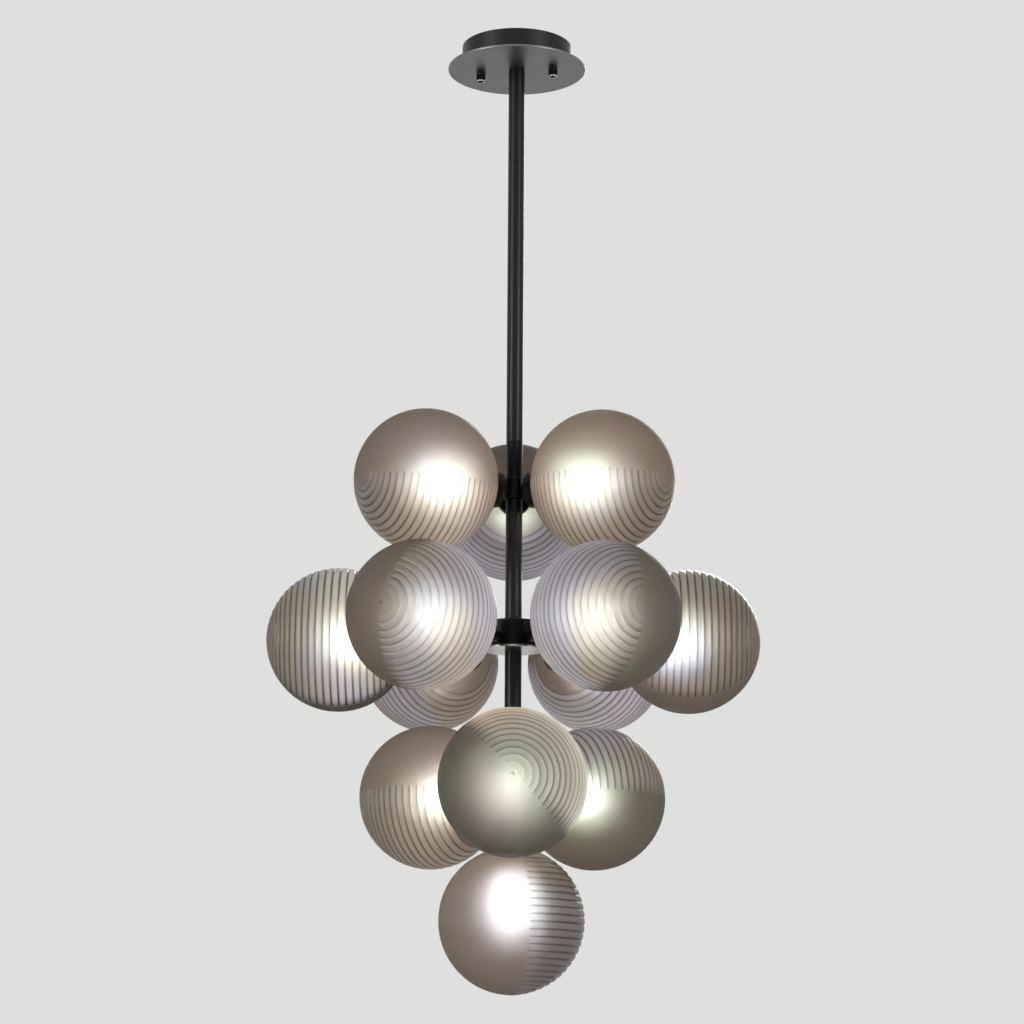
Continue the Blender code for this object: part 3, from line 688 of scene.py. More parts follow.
def lathed(name: str, outline: Outline, ease: float, sides: int, ring: bool = False) -> bpy.types.Mesh:
    """Turn a piece to an outline with eased corners.

    Args:
        name: Name of the mesh.
        outline: Its (radius, height) corners.
        ease: Largest length taken off each side of a corner.
        sides: How many columns it has.
        ring: Whether the outline closes on itself instead of on the axis.

    Returns:
        The turned mesh.
    """
    return turned(name, eased(outline, ease, ring), even_turns(sides), ring)


def circle(radius: float, sides: int) -> list[Vector]:
    """Closed outline of a circle."""
    return [Vector((radius * math.cos(turn), radius * math.sin(turn), 0.0)) for turn in even_turns(sides)]


def slot_hole(length: float, width: float, x: float = 0.0) -> list[Vector]:
    """Closed outline of a slot with round ends that runs along X.

    Args:
        length: Length over the round ends.
        width: Width of the slot.
        x: Where its middle is on the X axis.

    Returns:
        The points of the outline.
    """
    reach = (length - width) / 2
    ends = []
    for side, first in ((1, -90.0), (-1, 90.0)):
        for step in range(ROUND_END_STEPS + 1):
            turn = math.radians(first + 180.0 * step / ROUND_END_STEPS)
            across = width / 2 * math.sin(turn)
            ends.append(Vector((x + side * reach + width / 2 * math.cos(turn), across, 0.0)))
    return ends


def sawn(name: str, outline: list[Vector], holes: list[list[Vector]], low: float, high: float,
         ease: float) -> bpy.types.Mesh:
    """Cut a flat outline out of sheet or bar and ease its edges.

    Args:
        name: Name of the mesh.
        outline: Closed outline in the XY plane.
        holes: Closed outlines that pierce it.
        low: Height of its underside.
        high: Height of its top.
        ease: Width of the bevel on its edges.

    Returns:
        A closed mesh with wear on its bevels.
    """
    shape = bmesh.new()
    for loop in [outline, *holes]:
        corners = [shape.verts.new((point.x, point.y, low)) for point in loop]
        for first, second in zip(corners, corners[1:] + corners[:1]):
            shape.edges.new((first, second))
    bmesh.ops.triangle_fill(shape, edges=shape.edges, use_beauty=True)
    pulled = bmesh.ops.extrude_face_region(shape, geom=list(shape.faces), use_keep_orig=True)
    lifted = [item for item in pulled["geom"] if isinstance(item, bmesh.types.BMVert)]
    bmesh.ops.translate(shape, vec=(0.0, 0.0, high - low), verts=lifted)
    bmesh.ops.recalc_face_normals(shape, faces=shape.faces)
    ease_edges(shape, ease)
    mesh = bpy.data.meshes.new(name)
    shape.to_mesh(mesh)
    shape.free()
    return close_up(mesh)


def ease_edges(shape: bmesh.types.BMesh, ease: float) -> None:
    """Bevel a shape's sharp edges and mark the bevels as scuffed.

    Args:
        shape: The shape to work on.
        ease: Width of the bevel.
    """
    wear_and_glint = shape.verts.layers.float.get("wear_and_glint") or shape.verts.layers.float.new("wear_and_glint")
    sharp = [edge for edge in shape.edges if edge.is_manifold and edge.calc_face_angle() > BEVEL_ANGLE]
    made = bmesh.ops.bevel(shape, geom=sharp, offset=ease, segments=2, profile=0.6, affect="EDGES",
                           clamp_overlap=True)
    for corner in made["verts"]:
        corner[wear_and_glint] = BEVEL_WEAR


class NodeTool:
    """A workshop tool: one Geometry Nodes tree that is used once on a blank."""

    title = "tool"

    def sizes(self) -> dict[str, float]:
        """Named sizes that the tree takes as inputs."""
        raise NotImplementedError

    def shape(self, graph: NodeGraph, blank: Field, sizes: dict[str, Field]) -> Field:
        """Nodes between the blank and the finished shape."""
        raise NotImplementedError

    def use(self, blank: bpy.types.Mesh, finish: Finish) -> bpy.types.Mesh:
        """Run the tree on a blank.

        Args:
            blank: The mesh to work on.
            finish: What the result is finished in.

        Returns:
            A plain mesh, with no modifier behind it.
        """
        tree = bpy.data.node_groups.new(self.title, "GeometryNodeTree")
        values = self.sizes()
        tree.interface.new_socket("Blank", in_out="INPUT", socket_type="NodeSocketGeometry")
        for name in values:
            tree.interface.new_socket(name, in_out="INPUT", socket_type="NodeSocketFloat")
        tree.interface.new_socket("Finish", in_out="INPUT", socket_type="NodeSocketMaterial")
        tree.interface.new_socket("Piece", in_out="OUTPUT", socket_type="NodeSocketGeometry")
        graph = NodeGraph(tree)
        entry = graph.node("NodeGroupInput", output="Blank")
        shaped = self.shape(graph, entry, {name: entry.output(name) for name in values})
        real = graph.node("GeometryNodeRealizeInstances", sockets={"Geometry": shaped})
        dressed = graph.node("GeometryNodeSetMaterial", sockets={
            "Geometry": real, "Material": entry.output("Finish")})
        graph.node("NodeGroupOutput", sockets={"Piece": dressed})
        holder = bpy.data.objects.new(self.title, blank)
        bpy.context.scene.collection.objects.link(holder)
        modifier = holder.modifiers.new(self.title, "NODES")
        modifier.node_group = tree
        values["Finish"] = finish.material()
        for item in tree.interface.items_tree:
            if item.in_out == "INPUT" and item.name in values:
                modifier[item.identifier] = values[item.name]
        depsgraph = bpy.context.evaluated_depsgraph_get()
        mesh = bpy.data.meshes.new_from_object(holder.evaluated_get(depsgraph), preserve_all_data_layers=True,
                                               depsgraph=depsgraph)
        holder.modifiers.remove(modifier)
        bpy.data.objects.remove(holder)
        return mesh

    @staticmethod
    def axes(graph: NodeGraph) -> tuple[Field, Field, Field]:
        """A point's X, Y and Z."""
        split = graph.node("ShaderNodeSeparateXYZ", sockets={0: graph.node("GeometryNodeInputPosition")})
        return split.output("X"), split.output("Y"), split.output("Z")

    @staticmethod
    def outer_skin(graph: NodeGraph) -> Field:
        """One on the rows that were marked as outer skin."""
        return graph.node("GeometryNodeInputNamedAttribute", {"data_type": "FLOAT"}, {"Name": "outer"},
                          "Attribute")

    @staticmethod
    def press(graph: NodeGraph, blank: Field, direction: Field, depth: Field) -> Field:
        """Move the points of a blank against a direction by a depth."""
        inwards = graph.vector("SCALE", {0: graph.vector("NORMALIZE", {0: direction}), "Scale": depth * -1.0})
        return graph.node("GeometryNodeSetPosition", sockets={"Geometry": blank, "Offset": inwards})

    @staticmethod
    def spots(graph: NodeGraph, count: Field) -> Field:
        """A number of points on one spot."""
        return graph.node("GeometryNodeMeshLine", {"mode": "OFFSET"},
                          {"Count": count, "Offset": (0.0, 0.0, 0.0)})


@dataclass
class ReedingMould(NodeTool):
    """Presses round reeds, in rings about the globe's own axis, into its +X half.

    fade is the number of reeds, counted from the pole, over which they come up,
    and inward the share of the radius over which the highlight painted on them
    comes up from the line where they end.
    """

    radius: float
    first: float
    pitch: float
    count: int
    depth: float
    lamp_height: float
    fullness: float = 0.975
    end_length: float = 0.0026
    end_round: float = 0.0014
    fade: float = 2.8
    inward: float = 0.28
    title = "reeding_mould"

    def sizes(self) -> dict[str, float]:
        """Sizes of the reeds and the place of the lamp, from which the glow painted on the glass is reckoned.

        Returns:
            The sizes by the names of the tree's inputs.
        """
        return {"Globe Radius": self.radius, "First Reed": self.first, "Reed Pitch": self.pitch,
                "Reed Count": float(self.count), "Reed Depth": self.depth, "Fullness": self.fullness,
                "End Length": self.end_length, "End Round": self.end_round, "Fade": self.fade,
                "Inward": self.inward, "Lamp Height": self.lamp_height}

    def shape(self, graph: NodeGraph, blank: Field, sizes: dict[str, Field]) -> Field:
        """Push the outer skin in between the reeds and keep where the valleys are.

        Args:
            graph: The graph to write into.
            blank: The geometry to work on.
            sizes: The tree's inputs by name.

        Returns:
            The shaped geometry.
        """
        side, across, along = self.axes(graph)
        off_axis = side * side + across * across
        radius = sizes["Globe Radius"]
        phase = (graph.math("ARCTAN2", off_axis ** 0.5, along) - sizes["First Reed"]) / sizes["Reed Pitch"]
        within = (phase > 0.0) * (phase < sizes["Reed Count"] + 0.0001)
        from_crest = graph.math("FRACT", phase + 0.000001) * 2.0 - 1.0
        full = sizes["Fullness"]
        bow = 1 - (1 - from_crest * from_crest * full * full) ** 0.5
        valley = bow / (1 - (1 - full * full) ** 0.5)
        inset = side - sizes["End Round"] * (1 - from_crest * from_crest)
        begun = graph.smooth_step(inset / sizes["End Length"], 0.0, 1.0)
        come_up = phase / sizes["Fade"]
        reeded = begun * graph.smooth_step(come_up, -0.25, 1.0) * within * self.outer_skin(graph)
        moved = self.press(graph, blank, graph.node("GeometryNodeInputPosition"),
                           valley * reeded * sizes["Reed Depth"])
        # How strongly the lamp would light each point of the glass, kept for the glow that the glass finish
        # paints from it.
        ray_along = along + sizes["Lamp Height"]
        squared = off_axis + ray_along * ray_along
        facing = (off_axis + along * ray_along) / (squared ** 0.5 * radius)
        kept = {"valley": valley * reeded, "reeded": reeded, "settled": graph.smooth_step(come_up, 0.5, 2.1),
                "inward": graph.smooth_step(side / radius / sizes["Inward"], 0.0, 1.0),
                "lit": facing * radius * radius / squared}
        for name, value in kept.items():
            moved = self.keep(graph, moved, name, value)
        return moved

    @staticmethod
    def keep(graph: NodeGraph, geometry: Field, name: str, value: Field) -> Field:
        """Store a number on the points of a geometry."""
        return graph.node("GeometryNodeStoreNamedAttribute", {"data_type": "FLOAT", "domain": "POINT"},
                          {"Geometry": geometry, "Name": name, "Value": value})


@dataclass
class GrooveTool(NodeTool):
    """Cuts a thread or crossed knurls into a turned blank about Z.

    run_out is the length over which the grooves fade at each end of their band.
    """

    starts: float
    pitch: float
    depth: float
    low: float
    high: float
    crossed: float = 0.0
    run_out: float = 0.0006
    title = "groove_tool"

    def sizes(self) -> dict[str, float]:
        """Sizes of the grooves and the band that they fill."""
        return {"Starts": self.starts, "Pitch": self.pitch, "Depth": self.depth, "Low": self.low,
                "High": self.high, "Crossed": self.crossed, "Run Out": self.run_out}

    def shape(self, graph: NodeGraph, blank: Field, sizes: dict[str, Field]) -> Field:
        """Push the outer skin in along helices.

        Args:
            graph: The graph to write into.
            blank: The geometry to work on.
            sizes: The tree's inputs by name.

        Returns:
            The shaped geometry.
        """
        side, across, along = self.axes(graph)
        turns = graph.math("ARCTAN2", across, side) * sizes["Starts"]
        climb = along / sizes["Pitch"] * math.tau
        right = 0.5 - graph.math("COSINE", turns + climb) * 0.5
        left = 0.5 - graph.math("COSINE", turns - climb) * 0.5
        wave = graph.math("MAXIMUM", right, left * sizes["Crossed"])
        above_low = graph.smooth_step((along - sizes["Low"]) / sizes["Run Out"], 0.0, 1.0)
        below_high = graph.smooth_step((sizes["High"] - along) / sizes["Run Out"], 0.0, 1.0)
        depth = wave * (above_low * below_high) * self.outer_skin(graph) * sizes["Depth"]
        flat = graph.node("ShaderNodeCombineXYZ", sockets={"X": side, "Y": across})
        return self.press(graph, blank, flat, depth)


@dataclass
class RingJig(NodeTool):
    """Repeats a blank round the Z axis, turned to face outwards each time."""

    count: int
    first: float = 0.0
    title = "ring_jig"

    def sizes(self) -> dict[str, float]:
        """How many copies, and where the first one is."""
        return {"Count": float(self.count), "First Turn": self.first}

    def shape(self, graph: NodeGraph, blank: Field, sizes: dict[str, Field]) -> Field:
        """One instance of the blank at each step of a full turn.

        Args:
            graph: The graph to write into.
            blank: The geometry to work on.
            sizes: The tree's inputs by name.

        Returns:
            The shaped geometry.
        """
        turn = graph.node("GeometryNodeInputIndex") * math.tau / sizes["Count"] + sizes["First Turn"]
        return graph.node("GeometryNodeInstanceOnPoints", sockets={
            "Points": self.spots(graph, sizes["Count"]), "Instance": blank,
            "Rotation": graph.node("ShaderNodeCombineXYZ", sockets={"Z": turn})})


@dataclass
class RowJig(NodeTool):
    """Repeats a blank along X, as far to one side of the origin as to the other."""

    count: int
    pitch: float
    title = "row_jig"

    def sizes(self) -> dict[str, float]:
        """How many copies, and how far apart."""
        return {"Count": float(self.count), "Pitch": self.pitch}

    def shape(self, graph: NodeGraph, blank: Field, sizes: dict[str, Field]) -> Field:
        """One instance of the blank at each place of the row.

        Args:
            graph: The graph to write into.
            blank: The geometry to work on.
            sizes: The tree's inputs by name.

        Returns:
            The shaped geometry.
        """
        shift = (graph.node("GeometryNodeInputIndex") - (sizes["Count"] - 1) / 2) * sizes["Pitch"]
        placed = graph.node("GeometryNodeSetPosition", sockets={
            "Geometry": self.spots(graph, sizes["Count"]),
            "Offset": graph.node("ShaderNodeCombineXYZ", sockets={"X": shift})})
        return graph.node("GeometryNodeInstanceOnPoints", sockets={"Points": placed, "Instance": blank})


def set_in_place(name: str, mesh: bpy.types.Mesh, finish: Finish, body: str = FIXED_BODY,
                 stands_for: Sequence[str] = (), place: Optional[Matrix] = None) -> None:
    """Put one finished piece into the frame.

    Args:
        name: Name of the piece.
        mesh: Its mesh, about the piece's own origin.
        finish: What it is finished in.
        body: The CAD body that carries it.
        stands_for: The CAD nodes that it is shown for.
        place: Where it goes. The place ends up in the mesh.
    """
    if place is not None:
        mesh.transform(place)
    mesh.materials.clear()
    mesh.materials.append(finish.material())
    piece = bpy.data.objects.new(name, mesh)
    bpy.context.scene.collection.objects.link(piece)
    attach(piece, body)
    if stands_for:
        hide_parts(*stands_for)
    LOG.info("%s: %d faces on %s", name, len(mesh.polygons), body)


@dataclass(frozen=True)
class Stem:
    """The screwed steel stem, from the canopy to the lower hub.

    Each of the lengths has the heights of its top, of its bottom and of the tip of
    its spigot.
    """

    radius: float = 0.00875
    bore: float = 0.00725
    spigot: float = 0.0065952
    wire_bore: float = 0.0043952
    spigot_length: float = 0.0075
    plug: float = 0.005
    ease: float = 0.00035
    sides: int = 72
    lengths: tuple[tuple[str, float, float, float], ...] = (
        ("upper_stem", -0.0266, -0.1322, -0.0175), ("middle_stem", -0.1325, -0.4425, -0.1250),
        ("first_spacer_stem", -0.5039, -0.6303, -0.4964), ("second_spacer_stem", -0.6653, -0.7987, -0.6382))

    def tube(self, top: float, low: float, tip: float) -> Outline:
        """Outline of one length, from its wire bore over the spigot and back up its socket.

        Args:
            top: Height of the top.
            low: Height of the bottom.
            tip: Height of the tip of the spigot.

        Returns:
            The (radius, height) corners.
        """
        return [(self.wire_bore, tip), (self.spigot, tip), (self.spigot, top), (self.radius, top),
                (self.radius, low), (self.bore, low), (self.bore, top - self.plug),
                (self.wire_bore, top - self.plug)]

    def build(self) -> None:
        """The four lengths of tube."""
        for node, top, low, tip in self.lengths:
            mesh = lathed(node + "_tube", self.tube(top, low, tip), self.ease, self.sides, ring=True)
            set_in_place(node + "_tube", mesh, STEM_STEEL, stands_for=[node])


@dataclass(frozen=True)
class Hub:
    """A three-way hub: a turned body with a milled flat for each neck."""

    node: str
    top: float
    riser: float
    azimuths: tuple[float, ...]
    radius: float = 0.0125
    height: float = 0.0223
    neck: float = 0.0065
    ease: float = 0.0006
    sides: int = 96

    def build(self) -> None:
        """Turn the hub with eased corners and mill its flats."""
        stem = Stem()
        bottom = self.top - self.height
        head = self.top + self.riser
        riser = [(stem.radius, head), (stem.radius, self.top)] if self.riser else []
        tip = head + stem.spigot_length
        socket = bottom + stem.spigot_length + stem.plug
        outline = [(stem.wire_bore, tip), (stem.spigot, tip), (stem.spigot, head), *riser,
                   (self.radius, self.top), (self.radius, bottom), (stem.bore, bottom), (stem.bore, socket),
                   (stem.wire_bore, socket)]
        mesh = lathed(self.node + "_body", outline, self.ease, self.sides, ring=True)
        shape = bmesh.new()
        shape.from_mesh(mesh)
        reach = math.sqrt(self.radius ** 2 - self.neck ** 2)
        for azimuth in self.azimuths:
            outward = Vector((math.sin(math.radians(azimuth)), -math.cos(math.radians(azimuth)), 0.0))
            everything = [*shape.verts, *shape.edges, *shape.faces]
            cut = bmesh.ops.bisect_plane(shape, geom=everything, dist=MERGE_DISTANCE, clear_outer=True,
                                         plane_co=outward * reach, plane_no=outward)
            rim = [item for item in cut["geom_cut"] if isinstance(item, bmesh.types.BMEdge)]
            bmesh.ops.contextual_create(shape, geom=rim)
        shape.to_mesh(mesh)
        shape.free()
        set_in_place(self.node + "_body", close_up(mesh), BLACK_STEEL, stands_for=[self.node])


@dataclass(frozen=True)
class DrumHub:
    """The six-way hub of the middle tier, its satin cover and its arms.

    band is how far the ring at an arm's outer end stands out.
    """

    radius: float = 0.0325
    top: float = -0.6359
    height: float = 0.0270
    wall: float = 0.002
    collar_radius: float = 0.0098
    collar_height: float = 0.0053
    cover_top: float = -0.6632
    cover_thickness: float = 0.0018
    arm_radius: float = 0.006
    arm_length: float = 0.064
    arm_start: float = 0.0325220
    axis_drop: float = 0.0187
    band: float = 0.0009
    band_length: float = 0.0035
    body_ease: float = 0.0007
    cover_ease: float = 0.00025
    arm_ease: float = 0.0003
    sides: int = 128
    arm_sides: int = 48
    first_azimuth: float = -150.0
    arms: tuple[str, ...] = ("back_left", "left", "front_left", "front_right", "right", "back_right")

    def build(self) -> None:
        """Body, cover and arms."""
        self.build_body()
        self.build_cover()
        self.build_arms()

    def build_body(self) -> None:
        """The hollow drum with its collar and spigot."""
        stem = Stem()
        bottom = self.top - self.height
        ceiling = self.top - self.wall
        inner = self.radius - self.wall
        collar = self.top + self.collar_height
        tip = collar + stem.spigot_length
        outline = [(stem.wire_bore, tip), (stem.spigot, tip), (stem.spigot, collar),
                   (self.collar_radius, collar), (self.collar_radius, self.top), (self.radius, self.top),
                   (self.radius, bottom), (inner, bottom), (inner, ceiling), (stem.wire_bore, ceiling)]
        mesh = lathed("drum_hub", outline, self.body_ease, self.sides, ring=True)
        set_in_place("tier_2_hub_drum", mesh, BLACK_STEEL, stands_for=["tier_2_hub"])

    def build_cover(self) -> None:
        """The disc that closes the drum from below."""
        bore = Stem().bore
        under = self.cover_top - self.cover_thickness
        outline = [(bore, self.cover_top), (self.radius, self.cover_top), (self.radius, under), (bore, under)]
        mesh = lathed("drum_cover", outline, self.cover_ease, self.sides, ring=True)
        set_in_place("tier_2_hub_disc", mesh, LIT_COVER_STEEL, stands_for=["tier_2_hub_cover"])

    def build_arms(self) -> None:
        """Six arms with a band at the outer end, repeated round the hub."""
        start, radius = self.arm_start, self.arm_radius
        end = start + self.arm_length
        shoulder = end - self.band_length
        band = radius + self.band
        outline = [(0.0, start), (radius, start), (radius, shoulder), (band, shoulder), (band, end),
                   (0.0, end)]
        blank = lathed("arm_blank", outline, self.arm_ease, self.arm_sides)
        blank.transform(Matrix.Rotation(math.radians(90.0), 4, "X"))
        arms = RingJig(len(self.arms), math.radians(self.first_azimuth)).use(blank, STEM_STEEL)
        arms.transform(Matrix.Translation((0.0, 0.0, self.top - self.axis_drop)))
        set_in_place("tier_2_arms", arms, STEM_STEEL, stands_for=[f"tier_2_{arm}_arm" for arm in self.arms])


@dataclass(frozen=True)
class LightPoint:
    """One cup, lampholder, lamp and turned globe, built along its own axis.

    Local Z runs out of the cup and local zero is the globe's centre. azimuth is
    counted from the front, positive to the right, and rib_turn turns the reeded
    half about the axis, from straight down, or from the front at the bottom. level
    is the share of its lamp's full light, the next two numbers are how much of that
    light is painted as glow onto the glass and as a highlight onto its reeds, and
    tone and reed_tone lean their colour from olive at 0 to lilac at 1.
    """

    name: str
    tier: Tier
    azimuth: float
    rib_turn: float
    level: float
    painted_glow: float
    painted_shine: float
    tone: float
    reed_tone: float

    def axis(self) -> Matrix:
        """Place and direction of the light point.

        Returns:
            The matrix from the light point's own axes to the frame.
        """
        reach, height = TIER_PLACES[self.tier]
        turn = math.radians(self.azimuth)
        outward = Vector((math.sin(turn), -math.cos(turn), 0.0))
        datum = Vector((0.0, 0.0, -1.0))
        if self.tier is Tier.BOTTOM:
            outward, datum = Vector((0.0, 0.0, -1.0)), Vector((0.0, -1.0, 0.0))
        centre = Vector((0.0, 0.0, height)) + outward * reach
        basis = Matrix((datum, outward.cross(datum), outward)).transposed().to_4x4()
        return Matrix.Translation(centre) @ basis

    def globe_place(self) -> Matrix:
        """Place of the globe, with its reeded half turned."""
        return self.axis() @ Matrix.Rotation(math.radians(self.rib_turn), 4, "Z")


TIER_PLACES = {Tier.UPPER: (0.1056805, -0.4957), Tier.MIDDLE: (0.1823254, -0.6546),
               Tier.LOWER: (0.0984805, -0.8134), Tier.BOTTOM: (0.0, -0.9442034)}
TIER_NECKS = {Tier.UPPER: 0.0092, Tier.MIDDLE: 0.0, Tier.LOWER: 0.0020, Tier.BOTTOM: 0.0371}
# The sixth and seventh numbers of each light point set how strongly glow is painted onto its plain and its
# reeded glass.
LIGHT_POINTS = (
    LightPoint("tier_1_left", Tier.UPPER, -60.0, -6.0, 0.65, 0.95, 0.75, 0.4, 0.5),
    LightPoint("tier_1_right", Tier.UPPER, 60.0, 0.0, 1.35, 1.15, 0.35, 0.4, 0.5),
    LightPoint("tier_1_back", Tier.UPPER, 180.0, 0.0, 0.9, 0.0, 0.6, 0.6, 1.0),
    LightPoint("tier_2_front_left", Tier.MIDDLE, -30.0, 78.0, 2.7, 0.5, 1.0, 0.3, 0.75),
    LightPoint("tier_2_front_right", Tier.MIDDLE, 30.0, -95.0, 2.5, 0.35, 0.85, 0.5, 0.65),
    LightPoint("tier_2_left", Tier.MIDDLE, -90.0, 102.0, 0.4, 0.0, 1.0, 0.2, 0.45),
    LightPoint("tier_2_right", Tier.MIDDLE, 90.0, -120.0, 0.6, 0.35, 0.4, 0.6, 0.6),
    LightPoint("tier_2_back_left", Tier.MIDDLE, -150.0, 0.0, 0.6, 0.35, 0.45, 0.6, 0.6),
    LightPoint("tier_2_back_right", Tier.MIDDLE, 150.0, 0.0, 0.65, 0.3, 0.75, 0.6, 0.8),
    LightPoint("tier_3_front", Tier.LOWER, 0.0, 133.0, 0.58, 0.18, 2.25, 0.1, 0.1),
    LightPoint("tier_3_left", Tier.LOWER, -120.0, 5.0, 0.72, 0.95, 0.3, 0.45, 0.5),
    LightPoint("tier_3_right", Tier.LOWER, 120.0, 180.0, 0.62, 0.35, 0.45, 0.25, 0.6),
    LightPoint("bottom", Tier.BOTTOM, 0.0, -103.0, 0.8, 0.85, 0.0, 0.85, 0.5),
)


@dataclass(frozen=True)
class Globe:
    """A blown glass globe, half of it reeded, with a flared neck.

    pole_arcs places the rows of the dimple and the bead at the far pole, and each of
    the spans of columns has its first angle, its last angle and its steps.
    """

    radius: float = 0.075
    wall: float = 0.0025
    neck_radius: float = 0.0142512
    bore_radius: float = 0.0122512
    neck_top: float = -0.0736336
    flare_top: float = -0.0758336
    neck_end: float = -0.0776336
    flare_radius: float = 0.0162435
    pole_arcs: tuple[float, ...] = (
        0.0, 0.0004, 0.0008, 0.0012, 0.0016, 0.0020, 0.0024, 0.0028, 0.0033, 0.0038)
    dimple_depth: float = 0.0011
    dimple_radius: float = 0.0022
    bead_height: float = 0.00022
    bead_radius: float = 0.0027
    bead_width: float = 0.0006
    reed_start: float = 0.0043
    reed_stop: float = 0.030
    reeds: int = 24
    reed_depth: float = 0.0014
    reed_steps: int = 8
    shoulder_steps: int = 12
    inner_steps: int = 20
    spans: tuple[tuple[float, float, int], ...] = (
        (-84.0, 84.0, 40), (84.0, 93.0, 10), (93.0, 267.0, 40), (267.0, 276.0, 10))
    sharp_angle: float = math.radians(75.0)
    lamp_height: float = 0.021

    def neck_polar(self) -> float:
        """Polar angle at which the sphere meets the neck."""
        return math.pi - math.asin(self.neck_radius / self.radius)

    def reed_polars(self) -> tuple[float, float]:
        """Polar angles at which the reeds begin and end."""
        return self.reed_start / self.radius, self.neck_polar() - self.reed_stop / self.radius

    def rows(self) -> list[Row]:
        """Rows from the far pole down the outside, round the flare and up the inside.

        Returns:
            The rows, from pole to pole.
        """
        rows = []
        for arc in self.pole_arcs:
            dimple = self.dimple_depth * max(0.0, 1 - (arc / self.dimple_radius) ** 2) ** 2
            bead = self.bead_height * math.exp(-((arc - self.bead_radius) / self.bead_width) ** 2)
            rows.append(self.shell_row(arc / self.radius, self.radius - dimple + bead))
        first, last = self.reed_polars()
        count = self.reeds * self.reed_steps
        for step in range(count + 1):
            rows.append(self.shell_row(first + (last - first) * step / count, self.radius))
        for step in range(1, self.shoulder_steps):
            polar = last + (self.neck_polar() - last) * step / self.shoulder_steps
            rows.append(self.shell_row(polar, self.radius))
        rows += self.neck_rows()
        inner = self.radius - self.wall
        inner_neck = math.pi - math.asin(self.bore_radius / inner)
        for step in range(self.inner_steps, -1, -1):
            polar = inner_neck * step / self.inner_steps
            rows.append(Row(inner * math.sin(polar), inner * math.cos(polar)))
        return rows

    def neck_rows(self) -> list[Row]:
        """Rows down the neck, round the flare and up the bore, with fillets of up to a millimetre.

        Returns:
            The rows.
        """
        neck, flare, bore = self.neck_radius, self.flare_radius, self.bore_radius
        top, swell, end = self.neck_top, self.flare_top, self.neck_end
        outline = [(neck + 0.0009, top + 0.0002), (neck + 0.0002, top - 0.0003), (neck, top - 0.0010),
                   (neck + 0.0002, swell), (neck + 0.0010, swell - 0.0006), (flare - 0.0002, swell - 0.0012),
                   (flare, end + 0.0003), (flare - 0.0003, end), (bore + 0.0004, end), (bore, end + 0.0004),
                   (bore, top + 0.0006)]
        return [Row(radius, height) for radius, height in outline]

    @staticmethod
    def shell_row(polar: float, radius: float) -> Row:
        """A row of the outer skin."""
        return Row(radius * math.sin(polar), radius * math.cos(polar), outer=1.0)

    def turns(self) -> list[float]:
        """Columns, closest together where the reeds end on both sides."""
        return [math.radians(first + (last - first) * step / steps)
                for first, last, steps in self.spans for step in range(steps)]

    def mesh(self) -> bpy.types.Mesh:
        """The reeded globe about its own axis.

        Returns:
            The mesh, in glass.
        """
        first, last = self.reed_polars()
        mould = ReedingMould(self.radius, first, (last - first) / self.reeds, self.reeds, self.reed_depth,
                             self.lamp_height)
        mesh = mould.use(turned("globe_blank", self.rows(), self.turns()), SMOKED_GLASS)
        mesh.set_sharp_from_angle(angle=self.sharp_angle)
        return mesh


@dataclass(frozen=True)
class Cup:
    """The steel can behind each globe, with a groove near its back."""

    radius: float = 0.019
    wall: float = 0.0015
    rim: float = -0.0728534
    back: float = -0.0855034
    lip_face: float = -0.0737228
    bore: float = 0.0153
    neck_radius: float = 0.0065
    groove_start: float = 0.0030
    groove_depth: float = 0.0004
    groove_width: float = 0.0014
    ease: float = 0.0007
    sides: int = 72

    def floor(self) -> float:
        """Height of the can's floor, on which the lampholder stands."""
        return self.back + self.wall

    def can(self, neck: float, tier: Tier) -> bpy.types.Mesh:
        """The can with its rolled rim, and the neck or drop stem behind it.

        Args:
            neck: Length of the neck or drop stem, zero for none.
            tier: The tier that the cup is on.

        Returns:
            The mesh about the light point's axis.
        """
        stem = Stem()
        tail = self.back - neck
        inner = self.radius - self.wall
        waist = self.radius - self.groove_depth
        groove = self.back + self.groove_start
        groove_end = groove + self.groove_width
        lip_back = self.lip_face - self.wall
        outline = [(0.0, tail)]
        if tier is Tier.BOTTOM:
            tip = tail - stem.spigot_length
            outline = [(0.0, tip), (stem.spigot, tip), (stem.spigot, tail), (stem.radius, tail),
                       (stem.radius, self.back)]
        elif neck > 0:
            outline += [(self.neck_radius, tail), (self.neck_radius, self.back)]
        outline += [(self.radius, self.back), (self.radius, groove), (waist, groove + self.groove_depth),
                    (waist, groove_end - self.groove_depth), (self.radius, groove_end),
                    (self.radius, self.rim), (self.bore, self.lip_face), (self.bore, lip_back),
                    (inner, lip_back), (inner, self.floor()), (0.0, self.floor())]
        return lathed("cup_can", outline, self.ease, self.sides)


